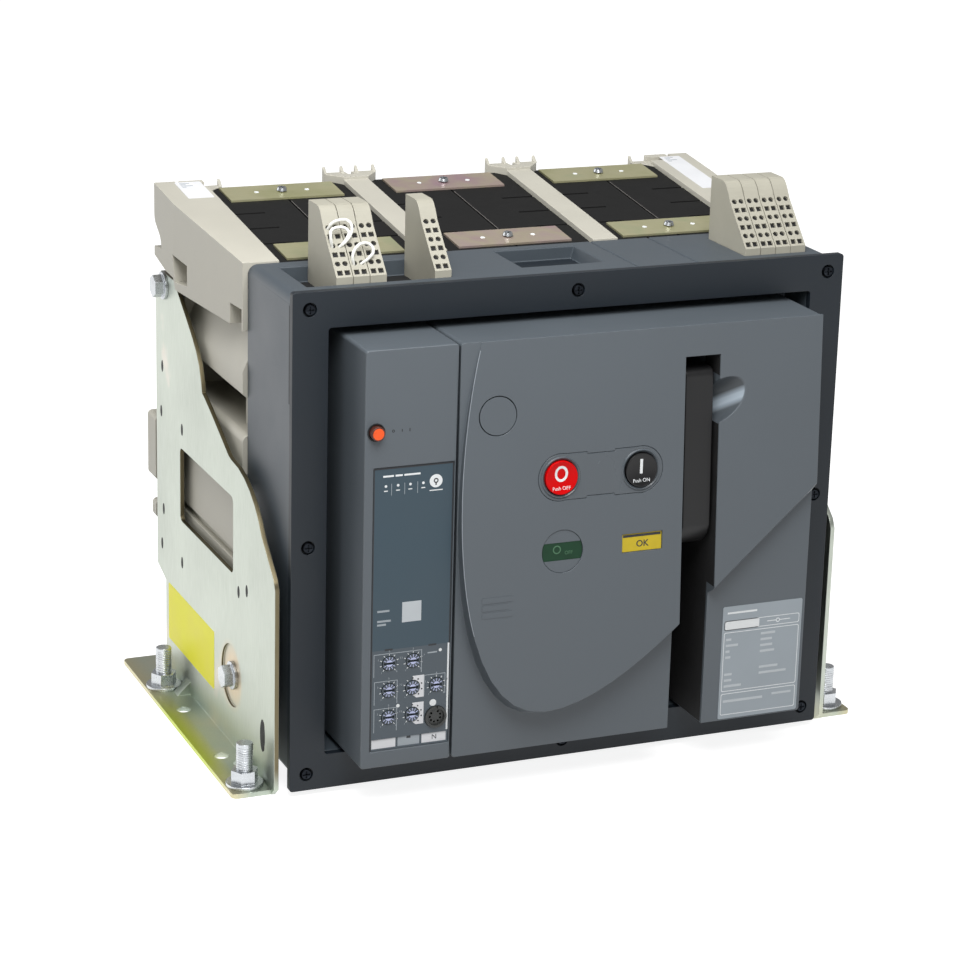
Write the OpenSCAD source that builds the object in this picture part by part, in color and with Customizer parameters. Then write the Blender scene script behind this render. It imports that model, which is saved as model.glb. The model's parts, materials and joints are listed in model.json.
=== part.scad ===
// Fixed three-pole low-voltage air circuit breaker with its door frame.
// Millimetres. X runs to the right, Y runs to the back, Z runs up, and the feet stand on Z = 0.
// Depths below are counted from the front face of the door frame, towards the back.

/* [Case] */
// Distance between neighbouring poles
pole_pitch = 115; // [105:1:125]
// Thickness of the walls between the poles
wall_t = 17; // [13:1:20]
// Thickness of the two outer walls
side_wall_t = 32; // [28:1:35]
// Height of the rear case, from its underside to the ledge that carries the upper case
rear_h = 244; // [236:1:250]
// Height of the upper case at its back
upper_h = 60; // [57:1:66]
// How far the top of the upper case falls from its back to its front
top_fall = 18; // [6:1:18]
// Depth of the flat back of the case
case_back = 234; // [228:1:245]
// Height of the underside of the rear case
case_bottom = 24; // [18:1:30]

/* [Housing] */
// Depth of the back of the dark front housing
housing_back = 87; // [82:1:95]
// Height of the top of the front housing
housing_top = 309; // [304:1:311]
// Height of the underside of the front housing
housing_bottom = 12; // [8:1:16]
// Depth of the floor of the pocket that holds the cover
pocket_floor = 32; // [28:1:40]

/* [Door frame] */
// Width of the door frame
flange_w = 357; // [355:1:365]
// Height of the door frame
flange_h = 308; // [304:1:314]
// Height of the lower edge of the door frame
flange_z = 4; // [2:1:7]
// Thickness of the door frame
flange_t = 5; // [4:0.5:7]
// Width of the bar all round the door frame
flange_bar = 22; // [18:0.5:24]

/* [Cover] */
// Gap between the sides of the cover and the door frame
cover_gap = 10; // [8:0.5:12]
// How far the cover stands out of the door frame
cover_out = 35; // [30:1:40]
// How far the lower tip of the leaf-shaped panel stands out of the cover
leaf_rise = 12; // [8:0.5:14]
// Width of the trip unit section on the left of the cover
trip_section_w = 57.5; // [56:0.5:60]

/* [Controls] */
// Radius of the two push-buttons
button_r = 10.3; // [8:0.1:11]
// Travel of the two push-buttons
button_travel = 4; // [2:0.5:5]
// Distance between the two push-buttons
button_pitch = 52; // [48:0.5:56]
// Height of the push-buttons
button_z = 199.5; // [195:0.5:204]
// Width of the slot for the charging handle
slot_w = 23; // [21:0.5:26]
// Width of the charging handle
handle_w = 18.5; // [15:0.5:19]
// Radius of the reset button
reset_r = 4.2; // [3:0.1:4.5]
// Radius of the rotary dials
dial_r = 4.3; // [3:0.1:4.6]

/* [Terminals] */
// Width of one module of the control terminal blocks
module_w = 10.4; // [9.5:0.1:11]
// Height of the control terminal blocks above the housing
block_h = 40; // [36:1:46]
// Width of a main terminal pad
pad_w = 60; // [50:1:70]
// Thickness of a main terminal pad
pad_t = 12; // [10:1:16]

/* [Brackets] */
// Thickness of the steel side brackets and feet
bracket_t = 3; // [2.5:0.5:4]
// Gap between a bracket and the side of the rear case
bracket_gap = 4; // [3.5:0.5:6]
// Width of a foot, out from its bracket
foot_w = 24; // [23:0.5:27]
// Radius of the foot studs
stud_r = 5; // [4:0.5:5.5]
// Distance between the front and rear foot studs
stud_pitch = 170; // [150:1:175]

/* [Hidden] */
$fn = 48;

// Small clearances: round pieces that move, and pieces that are let into one another
run_gap = 0.4;
fit_gap = 0.25;
eps = 0.1;

// Case: the outer walls of the upper case overhang the rear case and the brackets
poles = [-1, 0, 1];
wall_in_x = 1.5 * pole_pitch - wall_t / 2 - 7;
case_x = wall_in_x + side_wall_t;
overhang = 9;
taper_y = 200;
rear_x = case_x - overhang;
core_x = rear_x - 30;
case_split = case_bottom + rear_h;
case_top = case_split + upper_h;
flare_d = 8;
flare_w = 36;
flare_out = 12;
flare_run = 12;
flare_t = 4;
flare_z = case_split + 20;
upper_back = case_back + flare_d;
flare_front = upper_back - flare_t - flare_run;
lip_h = 4;
floor_t = 10;
front_wall_t = 5;
chute_drop = 3;
bar_h = 42;
bar_face = 17;
bar_slope = 9;
lower_top = case_split - 65;
barrier_z = [case_bottom + 102, case_bottom + 146];
barrier_d = 34;
lip_d = 16;
shelf_z = [case_bottom + 76, case_bottom + 88];
shelf_d = 24;
recess_end = 24;

// Front housing and door frame
housing_x = flange_w / 2 - 1.5;
flange_top = flange_z + flange_h;
open_w = flange_w - 2 * flange_bar;
open_z0 = flange_z + flange_bar;
open_z1 = flange_top - flange_bar;
open_mid_z = flange_z + flange_h / 2;
frame_screw_r = 4.2;
frame_screw_in = 10.5;
cover_x = open_w / 2 - cover_gap;
cover_z0 = open_z0 + 2.5;
cover_z1 = open_z1 - 5.5;
cover_face = -cover_out;
// The leaf panel leans out: its face starts just proud of the cover's top edge and stands out most at its tip
leaf_top_rise = 0.6;
leaf_face = cover_face - leaf_top_rise;
leaf_tip_z = 55;
leaf_tilt = asin((leaf_rise - leaf_top_rise) / (cover_z1 - leaf_tip_z));
leaf_spread = 5;
// How far the panel runs past the cover's edges before it is trimmed, and into the cover's face
leaf_past = 2;
leaf_root = 1;
leaf_elbow = [79, 121];
leaf_slant = 41;
seam_x = -cover_x + trip_section_w;
seam_gap = 1;

// Controls on the leaf panel
button_mid_x = seam_x + 89.75;
off_x = button_mid_x - button_pitch / 2;
on_x = button_mid_x + button_pitch / 2;
button_out = 1.5;
button_len = 16;
bore_depth = button_len + button_travel + 4;
bezel_r = button_r + 4;
bezel_t = 2;
bezel_land = 17;
bezel_dip = 0.3;
bezel_step = 1.5;
lock_pos = [seam_x + 23.4, 240];
lock_r = 11.4;
lock_gap = 0.6;
lock_t = 3;
contact_pos = [seam_x + 65.5, 154];
contact_r = 13;
contact_band = 11;
spring_pos = [seam_x + 117.75, 154.5];
spring_size = [26, 11];
window_depth = 4;

// Charging handle in its slot
slot_x = seam_x + 155.5;
slot_z1 = 265.5;
slot_floor = 24;
handle_sink = 4;
handle_back = -16;
handle_top_gap = 9;
handle_z1 = slot_z1 - handle_top_gap;
pivot_z = 154;
pivot_y = -12;
pivot_r = 4;
pivot_boss_r = 12;
pivot_seat = 5;
scoop_r = 12;
scoop_z = 237;
scoop_turn = [0, 65, -43];
scoop_back = 16;

// Trip unit in the left section of the cover
trip_x = seam_x - trip_section_w / 2 + 2;
trip_w = trip_section_w - 8;
trip_z0 = cover_z0 + 10.5;
trip_h = 175;
trip_z1 = trip_z0 + trip_h;
trip_sink = 1;
trip_t = 8;
trip_face = cover_face + trip_sink;
strip_h = 7;
dial_xs = [for (i = [-1, 0, 1]) trip_x + 1.75 + i * 15];
dial_zs = [for (i = [2, 1, 0]) trip_z0 + 20.5 + i * 17];
dial_depth = 5;
dial_out = 0.5;
dial_slot_w = 1.2;
connector_r = 6.8;
connector_pos = [dial_xs[2], dial_zs[2] - 3.5];
connector_pin_r = 0.7;
reset_pos = [trip_x - 24, trip_z1 + 22];
reset_travel = 3;
reset_len = 14;
// Where the dials sit, row by row from the top
dials = [for (p = [[0, 0], [1, 0], [0, 1], [1, 1], [2, 1], [0, 2], [1, 2]]) [dial_xs[p[0]], dial_zs[p[1]]]];

// Control terminal blocks in the wells on top of the housing: left edge and number of modules of each
blocks = [[-143.5, 3], [-82, 1], [123, 4]];
block_back = 74;
block_top_d = 15;
block_foot_d = 50;
block_shoulder = 11;
block_sink = 10;
block_lip = 4;
hole_rows = 6;
hole_size = 3.3;
hole_depth = 5;
seam_cut = 0.5;
block_front = block_back - block_foot_d;
block_run = block_foot_d - block_top_d - block_shoulder;
block_rise = block_h - block_lip - block_shoulder;
block_slope = atan2(block_rise, block_run);
block_row = sqrt(block_run * block_run + block_rise * block_rise) / (hole_rows - 0.4);
column_gap = 0.44 * module_w;
// The two columns and the row of holes that each wire link on the left block bridges
jumpers = [[0, 3, 3], [1, 2, 3], [4, 5, 1]];
wire_r = 0.8;
wire_lean = 50;

// Brackets and feet
bracket_in = rear_x + bracket_gap;
bracket_out = bracket_in + bracket_t;
foot_x = bracket_out + foot_w;
foot_y0 = 10;
foot_y1 = 250;
foot_round = 4;
bracket_y0 = 4;
bracket_y1 = 247;
ear_y = 201;
ear_rise = 4;
ear_gap = 3;
ear_z = case_split + ear_rise;
heel_y = 228;
heel_z = 64;
stud_x = bracket_out + foot_w / 2;
stud_y0 = 24;
stud_h = 30;
nut_r = 8.5;
nut_h = 8;
washer_r = 11.5;
washer_t = 2;
head_r = 7.5;
head_h = 6;
bolt_r = 4;
top_bolt = [227, case_split - 4];
low_bolt = [88, 48];
dish_r = 20;
dish_d = 1.6;
foot_hole_r = 4.5;
foot_hole_ys = [70, 150];
dart_ys = [52, 178];
dart = 9;
window_y = [84, 195];
window_z = [116, 165];
slot_holes = [[233, 209], [236, 178], [190, 178], [232, 112], [236, 87], [191, 88], [57, 114], [73, 108]];

// Main terminals at the back
pad_out = 34;
pad_back = case_back + pad_out;
pad_hole_r = 5.5;
pad_hole_pitch = 30;
pad_hole_y = case_back + 19;
pad_in = 20;
pad_round = 4;
pad_well = [8, 16, 6];
upper_pad_z = case_bottom + 181;
lower_pad_z = case_bottom + 51;

// The door frame's front face stands here, so that the origin is below the middle of the whole breaker
front_y = cover_face - leaf_rise;
frame_y = -(front_y + pad_back) / 2;

// Colours
beige = [0.72, 0.71, 0.66];
dark = [0.18, 0.20, 0.22];
slate = [0.41, 0.43, 0.45];
zinc = [0.78, 0.80, 0.74];
black = [0.12, 0.12, 0.12];
blue_slate = [0.26, 0.33, 0.37];
pale = [0.80, 0.79, 0.74];

// Puts a piece whose depths are counted from the door frame into the part's frame
module place() { translate([0, frame_y, 0]) children(); }

// A piece and its mirror image on the other side
module both_sides() { children(); mirror([1, 0, 0]) children(); }

// A block between two corners
module block(a, b) { translate(a) cube(b - a); }

// A flat shape in X and Z, pushed out from depth y0 to depth y1
module front_plate(y0, y1) { translate([0, y1, 0]) rotate([90, 0, 0]) linear_extrude(y1 - y0) children(); }

// A flat shape in Y and Z, pushed out from x0 to x1
module side_plate(x0, x1) { translate([x0, 0, 0]) rotate([90, 0, 90]) linear_extrude(x1 - x0) children(); }

// A flat shape in X and Y, pushed up from z0 to z1
module floor_plate(z0, z1) { translate([0, 0, z0]) linear_extrude(z1 - z0) children(); }

// A round pin along Y from depth y0 to depth y1
module pin_y(pos, r, y0, y1) {
    translate([pos[0], y1, pos[1]]) rotate([90, 0, 0]) cylinder(r = r, h = y1 - y0);
}

// A round pin along X
module pin_x(pos, r, x0, x1) {
    translate([x0, pos[0], pos[1]]) rotate([0, 90, 0]) cylinder(r = r, h = x1 - x0);
}

// A rectangle with round corners between two corners
module round_rect(a, b, r) {
    translate([a[0] + r, a[1]]) square([b[0] - a[0] - 2 * r, b[1] - a[1]]);
    translate([a[0], a[1] + r]) square([b[0] - a[0], b[1] - a[1] - 2 * r]);
    for (x = [a[0] + r, b[0] - r], z = [a[1] + r, b[1] - r]) translate([x, z]) circle(r);
}

// A cubic curve through two ends with two handles
function curve(p, n) = [for (i = [0 : n]) let (t = i / n)
    pow(1 - t, 3) * p[0] + 3 * t * pow(1 - t, 2) * p[1] + 3 * t * t * (1 - t) * p[2] + pow(t, 3) * p[3]];

// Leans its children with the leaf panel, whose face is at leaf_face before it leans
module on_leaf() {
    translate([0, leaf_face, cover_z1]) rotate([-leaf_tilt, 0, 0])
        translate([0, -leaf_face, -cover_z1]) children();
}

// Depth of the leaf panel's face at a height
function leaf_at(z) = leaf_face - (cover_z1 - z) * tan(leaf_tilt);

// Height of the sloping top of the upper case at a depth
function top_at(y) = case_top - top_fall * (upper_back - y) / (upper_back - housing_back);

// Front view of the bar along the top of each side of the rear case
module side_bar_shape() {
    z0 = case_split - bar_h;
    polygon([[core_x - 10, z0], [rear_x - 3, z0], [rear_x, z0 + 3], [rear_x, z0 + bar_face],
             [rear_x - bar_slope, case_split - 6], [rear_x - bar_slope, case_split],
             [core_x - 10, case_split]]);
}

// A level rib across the back of the rear case, whose outer lip reaches out behind the brackets
module back_rib(z, d) {
    front_plate(case_back - 1, case_back + d) round_rect([-rear_x, z[0]], [rear_x, z[1]], 3);
    front_plate(case_back + lip_d, case_back + d) round_rect([-bracket_out, z[0]], [bracket_out, z[1]], 3);
}

// The rear half of the case: side bars, a deep recess below them, and barriers between the main terminals
module rear_case() {
    color(beige) place() difference() {
        union() {
            block([-core_x, housing_back, case_bottom], [core_x, case_back, case_split]);
            both_sides() {
                front_plate(housing_back, case_back) side_bar_shape();
                front_plate(housing_back, case_back)
                    round_rect([core_x - 10, case_bottom], [rear_x, lower_top], 5);
                for (y = [housing_back, case_back - recess_end])
                    block([core_x - 10, y, lower_top - 10], [rear_x - 10, y + recess_end, case_split - 10]);
                block([core_x - 10, ear_y + 4, case_split - bar_h], [rear_x, case_back, case_split]);
            }
            for (x = [wall_t / 2 - rear_x, -pole_pitch / 2, pole_pitch / 2, rear_x - wall_t / 2])
                block([x - wall_t / 2, case_back - 1, case_bottom], [x + wall_t / 2, upper_back, case_split]);
            back_rib(barrier_z, barrier_d);
            back_rib(shelf_z, shelf_d);
            block([-rear_x, case_back - 1, case_bottom], [rear_x, upper_back, case_bottom + 14]);
        }
        both_sides() for (z = [barrier_z[0] - 8, barrier_z[1] + 2])
            block([rear_x - 4, housing_back - eps, z], [rear_x + eps, case_back - 12, z + 6]);
        for (p = poles, z = [upper_pad_z, lower_pad_z]) {
            block([p * pole_pitch - pad_w / 2 - fit_gap, case_back - pad_in, z - pad_t / 2 - fit_gap],
                  [p * pole_pitch + pad_w / 2 + fit_gap, upper_back + eps, z + pad_t / 2 + fit_gap]);
            front_plate(case_back - pad_well[2], case_back + eps)
                round_rect([p * pole_pitch - pad_w / 2 - pad_well[0], z - pad_well[1]],
                           [p * pole_pitch + pad_w / 2 + pad_well[0], z + pad_well[1]], 5);
        }
    }
}

// Side view of an outer wall of the upper case, with room for the bracket's ear, and a tab at its back
module side_wall_shape() {
    polygon(concat([[housing_back, case_split], [ear_y - 4, case_split], [ear_y, ear_z + ear_gap],
                    [upper_back - 24, ear_z + ear_gap + 1], [upper_back, ear_z + 9], [upper_back, ear_z + 15],
                    [upper_back - 15, ear_z + 16]],
                   curve([[upper_back - 15, ear_z + 18], [upper_back - 15, ear_z + 27],
                          [upper_back, ear_z + 27], [upper_back, ear_z + 36]], 8),
                   [[upper_back, case_top], [housing_back, top_at(housing_back)]]));
}

// Plan of the T-shaped back end of a wall between two poles
module flare_shape() {
    polygon([[-flare_w / 2, upper_back], [-flare_w / 2, upper_back - flare_t], [-wall_t / 2, flare_front],
             [wall_t / 2, flare_front], [flare_w / 2, upper_back - flare_t], [flare_w / 2, upper_back]]);
}

// A small pointed lip on the back edge of the upper case
module lip_spike(x, z) {
    side_plate(x - 1, x + 1)
        polygon([[upper_back - 5, z - eps], [upper_back, z - eps], [upper_back, z + lip_h]]);
}

// The upper case: a floor, a low front wall, and walls that part the three arc chutes
module upper_case() {
    flare_in = wall_in_x - flare_out;
    step_x = case_x - 14;
    front_x = housing_x + 3;
    color(beige) place() difference() {
        union() {
            block([-wall_in_x - 1, housing_back, case_split], [wall_in_x + 1, case_back, case_split + floor_t]);
            block([-wall_in_x - 1, housing_back, case_split],
                  [wall_in_x + 1, housing_back + front_wall_t, housing_top - 24]);
            both_sides() {
                side_plate(wall_in_x, case_x) side_wall_shape();
                floor_plate(flare_z, case_top - lip_h)
                    polygon([[wall_in_x + 1, flare_front - 1], [flare_in, upper_back - flare_t],
                             [flare_in, upper_back], [wall_in_x + 1, upper_back]]);
                for (x = [flare_in + 1, step_x - 3]) lip_spike(x, case_top - lip_h);
            }
            for (i = [-0.5, 0.5]) translate([i * pole_pitch, 0, 0]) {
                side_plate(-wall_t / 2, wall_t / 2)
                    polygon([[housing_back, case_split], [case_back, case_split], [case_back, flare_z],
                             [upper_back, flare_z], [upper_back, case_top],
                             [housing_back, top_at(housing_back)]]);
                floor_plate(flare_z, case_top) flare_shape();
                for (x = [1 - flare_w / 2, -5, 5, flare_w / 2 - 1]) lip_spike(x, case_top);
            }
        }
        both_sides() {
            side_plate(case_x - 9, case_x + eps) polygon([[ear_y - 24, ear_z + 3], [ear_y - 4, ear_z + 1],
                                                          [ear_y + 1, ear_z + 18], [ear_y - 24, ear_z + 16]]);
            block([front_x - 9, housing_back + 2, case_split - eps],
                  [case_x + eps, housing_back + 20, case_split + 13]);
            floor_plate(case_split - eps, case_top + eps)
                polygon([[front_x, housing_back - eps], [case_x + eps, housing_back - eps],
                         [case_x + eps, taper_y]]);
            block([wall_in_x - eps, upper_back - 12, case_top - lip_h],
                  [step_x - 4, upper_back - 5, case_top + eps]);
            block([step_x - 2, upper_back - 12, case_top - lip_h], [step_x, upper_back + eps, case_top + eps]);
        }
        for (i = [-0.5, 0.5])
            block([i * pole_pitch - 2, upper_back - 7, flare_z - eps],
                  [i * pole_pitch + 2, upper_back + eps, case_top + lip_h + eps]);
    }
}

// Middle and half width of an arc chute: the outer two are a little narrower
chute_in = pole_pitch / 2 + wall_t / 2;
function chute_x(pole) = pole * (chute_in + wall_in_x) / 2;
function chute_half(pole) = (pole == 0 ? pole_pitch - wall_t : wall_in_x - chute_in) / 2 - fit_gap;

// One arc chute: a block between two walls, with vents at its sides, a seam down its sloping top, and back
// corners cut off to clear the flared walls
module arc_chute(pole) {
    half = chute_half(pole);
    y0 = housing_back + front_wall_t + fit_gap;
    y1 = case_back - 2;
    corner = y1 - flare_front + 2 * fit_gap;
    color(black) place() translate([chute_x(pole), 0, 0]) difference() {
        side_plate(-half, half)
            polygon([[y0, case_split + floor_t], [y1, case_split + floor_t], [y1, top_at(y1) - chute_drop],
                     [y0, top_at(y0) - chute_drop]]);
        both_sides() {
            for (i = [0 : 2])
                block([half - 22, y0 + 32 + 28 * i, top_at(y0 + 32 + 28 * i) - chute_drop - 3],
                      [half + eps, y0 + 34 + 28 * i, case_top]);
            floor_plate(case_split, case_top)
                polygon([[half + eps, y1 - corner - eps], [half + eps, y1 + eps], [half - corner, y1 + eps]]);
        }
        side_plate(-0.6, 0.6) polygon([for (p = [[y0, 1], [y1, 1], [y1, 2], [y0, 2]])
                                       [p[0], top_at(p[0]) - chute_drop - 2.2 + 1.2 * p[1]]]);
    }
}
module arc_chute_left() { arc_chute(-1); }
module arc_chute_centre() { arc_chute(0); }
module arc_chute_right() { arc_chute(1); }

// Steel strips that hold the arc chutes down, two to a pole, each with two small holes
module arc_chute_clamps() {
    strip_x = 38;
    strip_d = 26;
    strip_t = 1.2;
    hole_r = 1.6;
    color(zinc) place() for (p = poles, y = [housing_back + front_wall_t + 3, case_back - strip_d - 4])
        translate([chute_x(p), 0, 0]) difference() {
            side_plate(-strip_x, strip_x)
                polygon([for (q = [[y, 0], [y + strip_d, 0], [y + strip_d, strip_t], [y, strip_t]])
                         [q[0], top_at(q[0]) - chute_drop + q[1]]]);
            for (x = [-17, 17])
                translate([x, y + strip_d / 2, case_split]) cylinder(r = hole_r, h = upper_h + lip_h);
        }
}

// The dark front housing with a pocket for the cover and wells for the terminal blocks
module front_housing() {
    well_z = housing_top - block_sink;
    well_y0 = block_front - fit_gap;
    well_y1 = block_back + fit_gap;
    color(dark) place() difference() {
        front_plate(flange_t, housing_back)
            round_rect([-housing_x, housing_bottom], [housing_x, housing_top], 6);
        block([-open_w / 2, flange_t - eps, open_z0], [open_w / 2, pocket_floor, open_z1]);
        block([blocks[0][0] - 18, well_y0, well_z],
              [blocks[1][0] + module_w + fit_gap, well_y1, housing_top + eps]);
        block([blocks[2][0] - fit_gap, well_y0, well_z],
              [blocks[2][0] + blocks[2][1] * module_w + fit_gap, well_y1, housing_top + eps]);
        front_plate(block_front + 10, block_back + 4)
            polygon([[-22, housing_top + eps], [-20, housing_top - 8], [30, housing_top - 8],
                     [32, housing_top + eps]]);
        for (x = [46, 86])
            block([x, flange_t + 2, housing_top - 1], [x + 1, housing_back + eps, housing_top + eps]);
        both_sides()
            block([housing_x - 2, flange_t + 3, housing_top - 65],
                  [housing_x + eps, flange_t + 5, housing_top - 7]);
        both_sides() block([housing_x - 10, housing_back - 4, housing_bottom - eps],
                           [housing_x + eps, housing_back + eps, case_bottom + 8]);
    }
}

// The door frame round the cover, with sunk places for its eight screws
module door_frame() {
    color(dark) place() difference() {
        front_plate(0, flange_t) round_rect([-flange_w / 2, flange_z], [flange_w / 2, flange_top], 2);
        front_plate(-eps, flange_t + eps) round_rect([-open_w / 2, open_z0], [open_w / 2, open_z1], 2);
        for (i = [-1, 0, 1], j = [-1, 0, 1]) if (i != 0 || j != 0)
            pin_y([i * (flange_w / 2 - frame_screw_in), open_mid_z + j * (flange_h / 2 - frame_screw_in)],
                  frame_screw_r, -eps, 2);
    }
}

// Outline of the leaf: a long left side, a round lower tip, and an edge that slants up to the right side.
// The spread moves the tip and the slanting edge outwards.
function leaf_outline(spread) =
    let (tip_z = leaf_tip_z - spread, tip_x = seam_x + 56,
         elbow = leaf_elbow + spread * [sin(leaf_slant), -cos(leaf_slant)])
    concat([[seam_x + 13.5, cover_z1 + leaf_past]],
           curve([[seam_x + 13, cover_z1], [seam_x - 8, 200], [seam_x - 6, tip_z], [tip_x, tip_z]], 16),
           curve([[tip_x, tip_z], [tip_x + 42, tip_z], elbow - 24 * [cos(leaf_slant), sin(leaf_slant)],
                  elbow], 12),
           [[cover_x + leaf_past, elbow[1] + (cover_x + leaf_past - elbow[0]) * tan(leaf_slant)],
            [cover_x + leaf_past, cover_z1 + leaf_past]]);

// The raised leaf panel, with a steep slope along its lower edge
module leaf_panel() {
    hull() {
        on_leaf() front_plate(leaf_face, leaf_face + eps) polygon(leaf_outline(0));
        front_plate(cover_face + leaf_root, cover_face + leaf_root + eps) polygon(leaf_outline(leaf_spread));
    }
}

// The slot that the charging handle stands in, open at the lower edge of the cover
module handle_slot() {
    block([slot_x - slot_w / 2, front_y - eps, cover_z0 - eps], [slot_x + slot_w / 2, slot_floor, slot_z1]);
}

// The slanting round scoop beside the slot, for a thumb
module thumb_scoop() {
    translate([slot_x + slot_w / 2, leaf_face, scoop_z]) rotate(scoop_turn)
        rotate(90) translate([0, 0, -scoop_back]) cylinder(r = scoop_r, h = 4 * scoop_back);
}

// Outline of the two push-buttons' bezel: two rounds and a slightly lower band between them
module bezel_shape(gap) {
    for (x = [off_x, on_x]) translate([x, button_z]) circle(bezel_r + gap);
    for (x = [off_x, on_x - bezel_land])
        translate([x, button_z - bezel_r + bezel_dip - gap])
            square([bezel_land, 2 * (bezel_r - bezel_dip + gap)]);
    translate([off_x, button_z - bezel_r + bezel_step - gap])
        square([button_pitch, 2 * (bezel_r - bezel_step + gap)]);
}

// The main cover with its raised leaf panel
module front_cover() {
    color(slate) place() difference() {
        union() {
            front_plate(cover_face, pocket_floor)
                round_rect([seam_x + seam_gap / 2, cover_z0], [cover_x, cover_z1], 2);
            intersection() {
                leaf_panel();
                block([seam_x + seam_gap / 2, front_y - 1, cover_z0],
                      [cover_x, cover_face + 2 * leaf_root, cover_z1]);
            }
        }
        handle_slot();
        on_leaf() {
            thumb_scoop();
            front_plate(leaf_face - eps, leaf_face + bezel_t) bezel_shape(fit_gap);
            for (x = [off_x, on_x])
                pin_y([x, button_z], button_r + run_gap, leaf_face - eps, leaf_face + bore_depth);
            pin_y(lock_pos, lock_r + lock_gap, leaf_face - eps, leaf_face + lock_t);
            pin_y(contact_pos, contact_r + fit_gap, leaf_face - eps, leaf_face + window_depth);
            block([spring_pos[0] - spring_size[0] / 2 - fit_gap, leaf_face - eps,
                   spring_pos[1] - spring_size[1] / 2 - fit_gap],
                  [spring_pos[0] + spring_size[0] / 2 + fit_gap, leaf_face + window_depth,
                   spring_pos[1] + spring_size[1] / 2 + fit_gap]);
        }
        pin_x([pivot_y, pivot_z], pivot_r + run_gap, slot_x - slot_w / 2 - pivot_seat,
              slot_x + slot_w / 2 + pivot_seat);
    }
}

// The left section of the cover, with a pocket for the trip unit
module trip_unit_cover() {
    color(slate) place() difference() {
        front_plate(cover_face, pocket_floor)
            round_rect([-cover_x, cover_z0], [seam_x - seam_gap / 2, cover_z1], 2);
        block([trip_x - trip_w / 2 - fit_gap, cover_face - eps, trip_z0 - fit_gap],
              [trip_x + trip_w / 2 + fit_gap, trip_face + trip_t, trip_z1 + fit_gap]);
        pin_y(reset_pos, reset_r + run_gap, cover_face - eps, cover_face + reset_len + reset_travel + 5);
    }
}

// The trip unit: a flat plate with bores for its dials and its test connector, and a sunk strip along its foot
module trip_unit() {
    color(blue_slate) place() difference() {
        block([trip_x - trip_w / 2, trip_face, trip_z0], [trip_x + trip_w / 2, trip_face + trip_t, trip_z1]);
        for (d = dials) pin_y(d, dial_r + run_gap, trip_face - eps, trip_face + dial_depth);
        pin_y(connector_pos, connector_r + fit_gap, trip_face - eps, trip_face + dial_depth);
        block([trip_x - trip_w / 2 + 1, trip_face - eps, trip_z0 + 1],
              [trip_x + trip_w / 2 - 1, trip_face + 0.6, trip_z0 + strip_h]);
    }
}

// A dial with a screwdriver slot
module dial(i) {
    face = trip_face - dial_out;
    color(pale) place() difference() {
        pin_y(dials[i], dial_r, face, face + dial_depth);
        block([dials[i][0] - dial_r + 0.8, face - eps, dials[i][1] - dial_slot_w / 2],
              [dials[i][0] + dial_r - 0.8, face + 1.2, dials[i][1] + dial_slot_w / 2]);
    }
}
module dial_1() { dial(0); }
module dial_2() { dial(1); }
module dial_3() { dial(2); }
module dial_4() { dial(3); }
module dial_5() { dial(4); }
module dial_6() { dial(5); }
module dial_7() { dial(6); }

// The round test connector with its ring of contact holes and a key
module test_connector() {
    face = trip_face - 1;
    color(black) place() difference() {
        pin_y(connector_pos, connector_r, face, trip_face + dial_depth);
        pin_y(connector_pos, connector_r - 1.4, face - eps, face + 1.5);
        for (a = [30 : 40 : 330])
            pin_y(connector_pos + 3.4 * [sin(a), cos(a)], connector_pin_r, face, trip_face + dial_depth - 1);
        block([connector_pos[0] - 1, face - eps, connector_pos[1] + connector_r - 2],
              [connector_pos[0] + 1, face + 1.5, connector_pos[1] + connector_r + eps]);
    }
}

// The reset button of the trip unit
module reset_button() {
    color("orangered") place()
        pin_y(reset_pos, reset_r, cover_face - reset_travel - 1, cover_face + reset_len - reset_travel);
}

// The bezel round the two push-buttons, with a countersunk rim round each
module button_bezel() {
    color(slate) place() on_leaf() difference() {
        front_plate(leaf_face, leaf_face + bezel_t) bezel_shape(0);
        for (x = [off_x, on_x]) {
            pin_y([x, button_z], button_r + run_gap, leaf_face - eps, leaf_face + bezel_t + eps);
            translate([x, leaf_face + 1, button_z]) rotate([90, 0, 0])
                cylinder(r1 = button_r + run_gap, r2 = button_r + run_gap + 2.2, h = 1.1);
        }
    }
}

// A push-button with a slightly hollow face
module push_button(x) {
    hollow_r = 40;
    hollow_d = 1.2;
    difference() {
        pin_y([x, button_z], button_r, leaf_face - button_out, leaf_face - button_out + button_len);
        translate([x, leaf_face - button_out - hollow_r + hollow_d, button_z]) sphere(r = hollow_r, $fn = 96);
    }
}
module off_button() { color("red") place() on_leaf() push_button(off_x); }
module on_button() { color(black) place() on_leaf() push_button(on_x); }

// The round blank that closes the place of a key lock
module lock_blank() { color(slate) place() on_leaf() pin_y(lock_pos, lock_r, leaf_face, leaf_face + lock_t); }

// The round window that shows whether the contacts are open, with a sunk band across it
module contact_indicator() {
    color("darkgreen") place() on_leaf() difference() {
        pin_y(contact_pos, contact_r, leaf_face + 0.5, leaf_face + window_depth);
        block([contact_pos[0] - contact_r - eps, leaf_face, contact_pos[1] - contact_band / 2],
              [contact_pos[0] + contact_r + eps, leaf_face + 1.5, contact_pos[1] + contact_band / 2]);
    }
}

// The window that shows whether the breaker is ready to close
module spring_indicator() {
    color("gold") place() on_leaf() front_plate(leaf_face + 1, leaf_face + window_depth)
        translate(spring_pos - spring_size / 2) square(spring_size);
}

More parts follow.
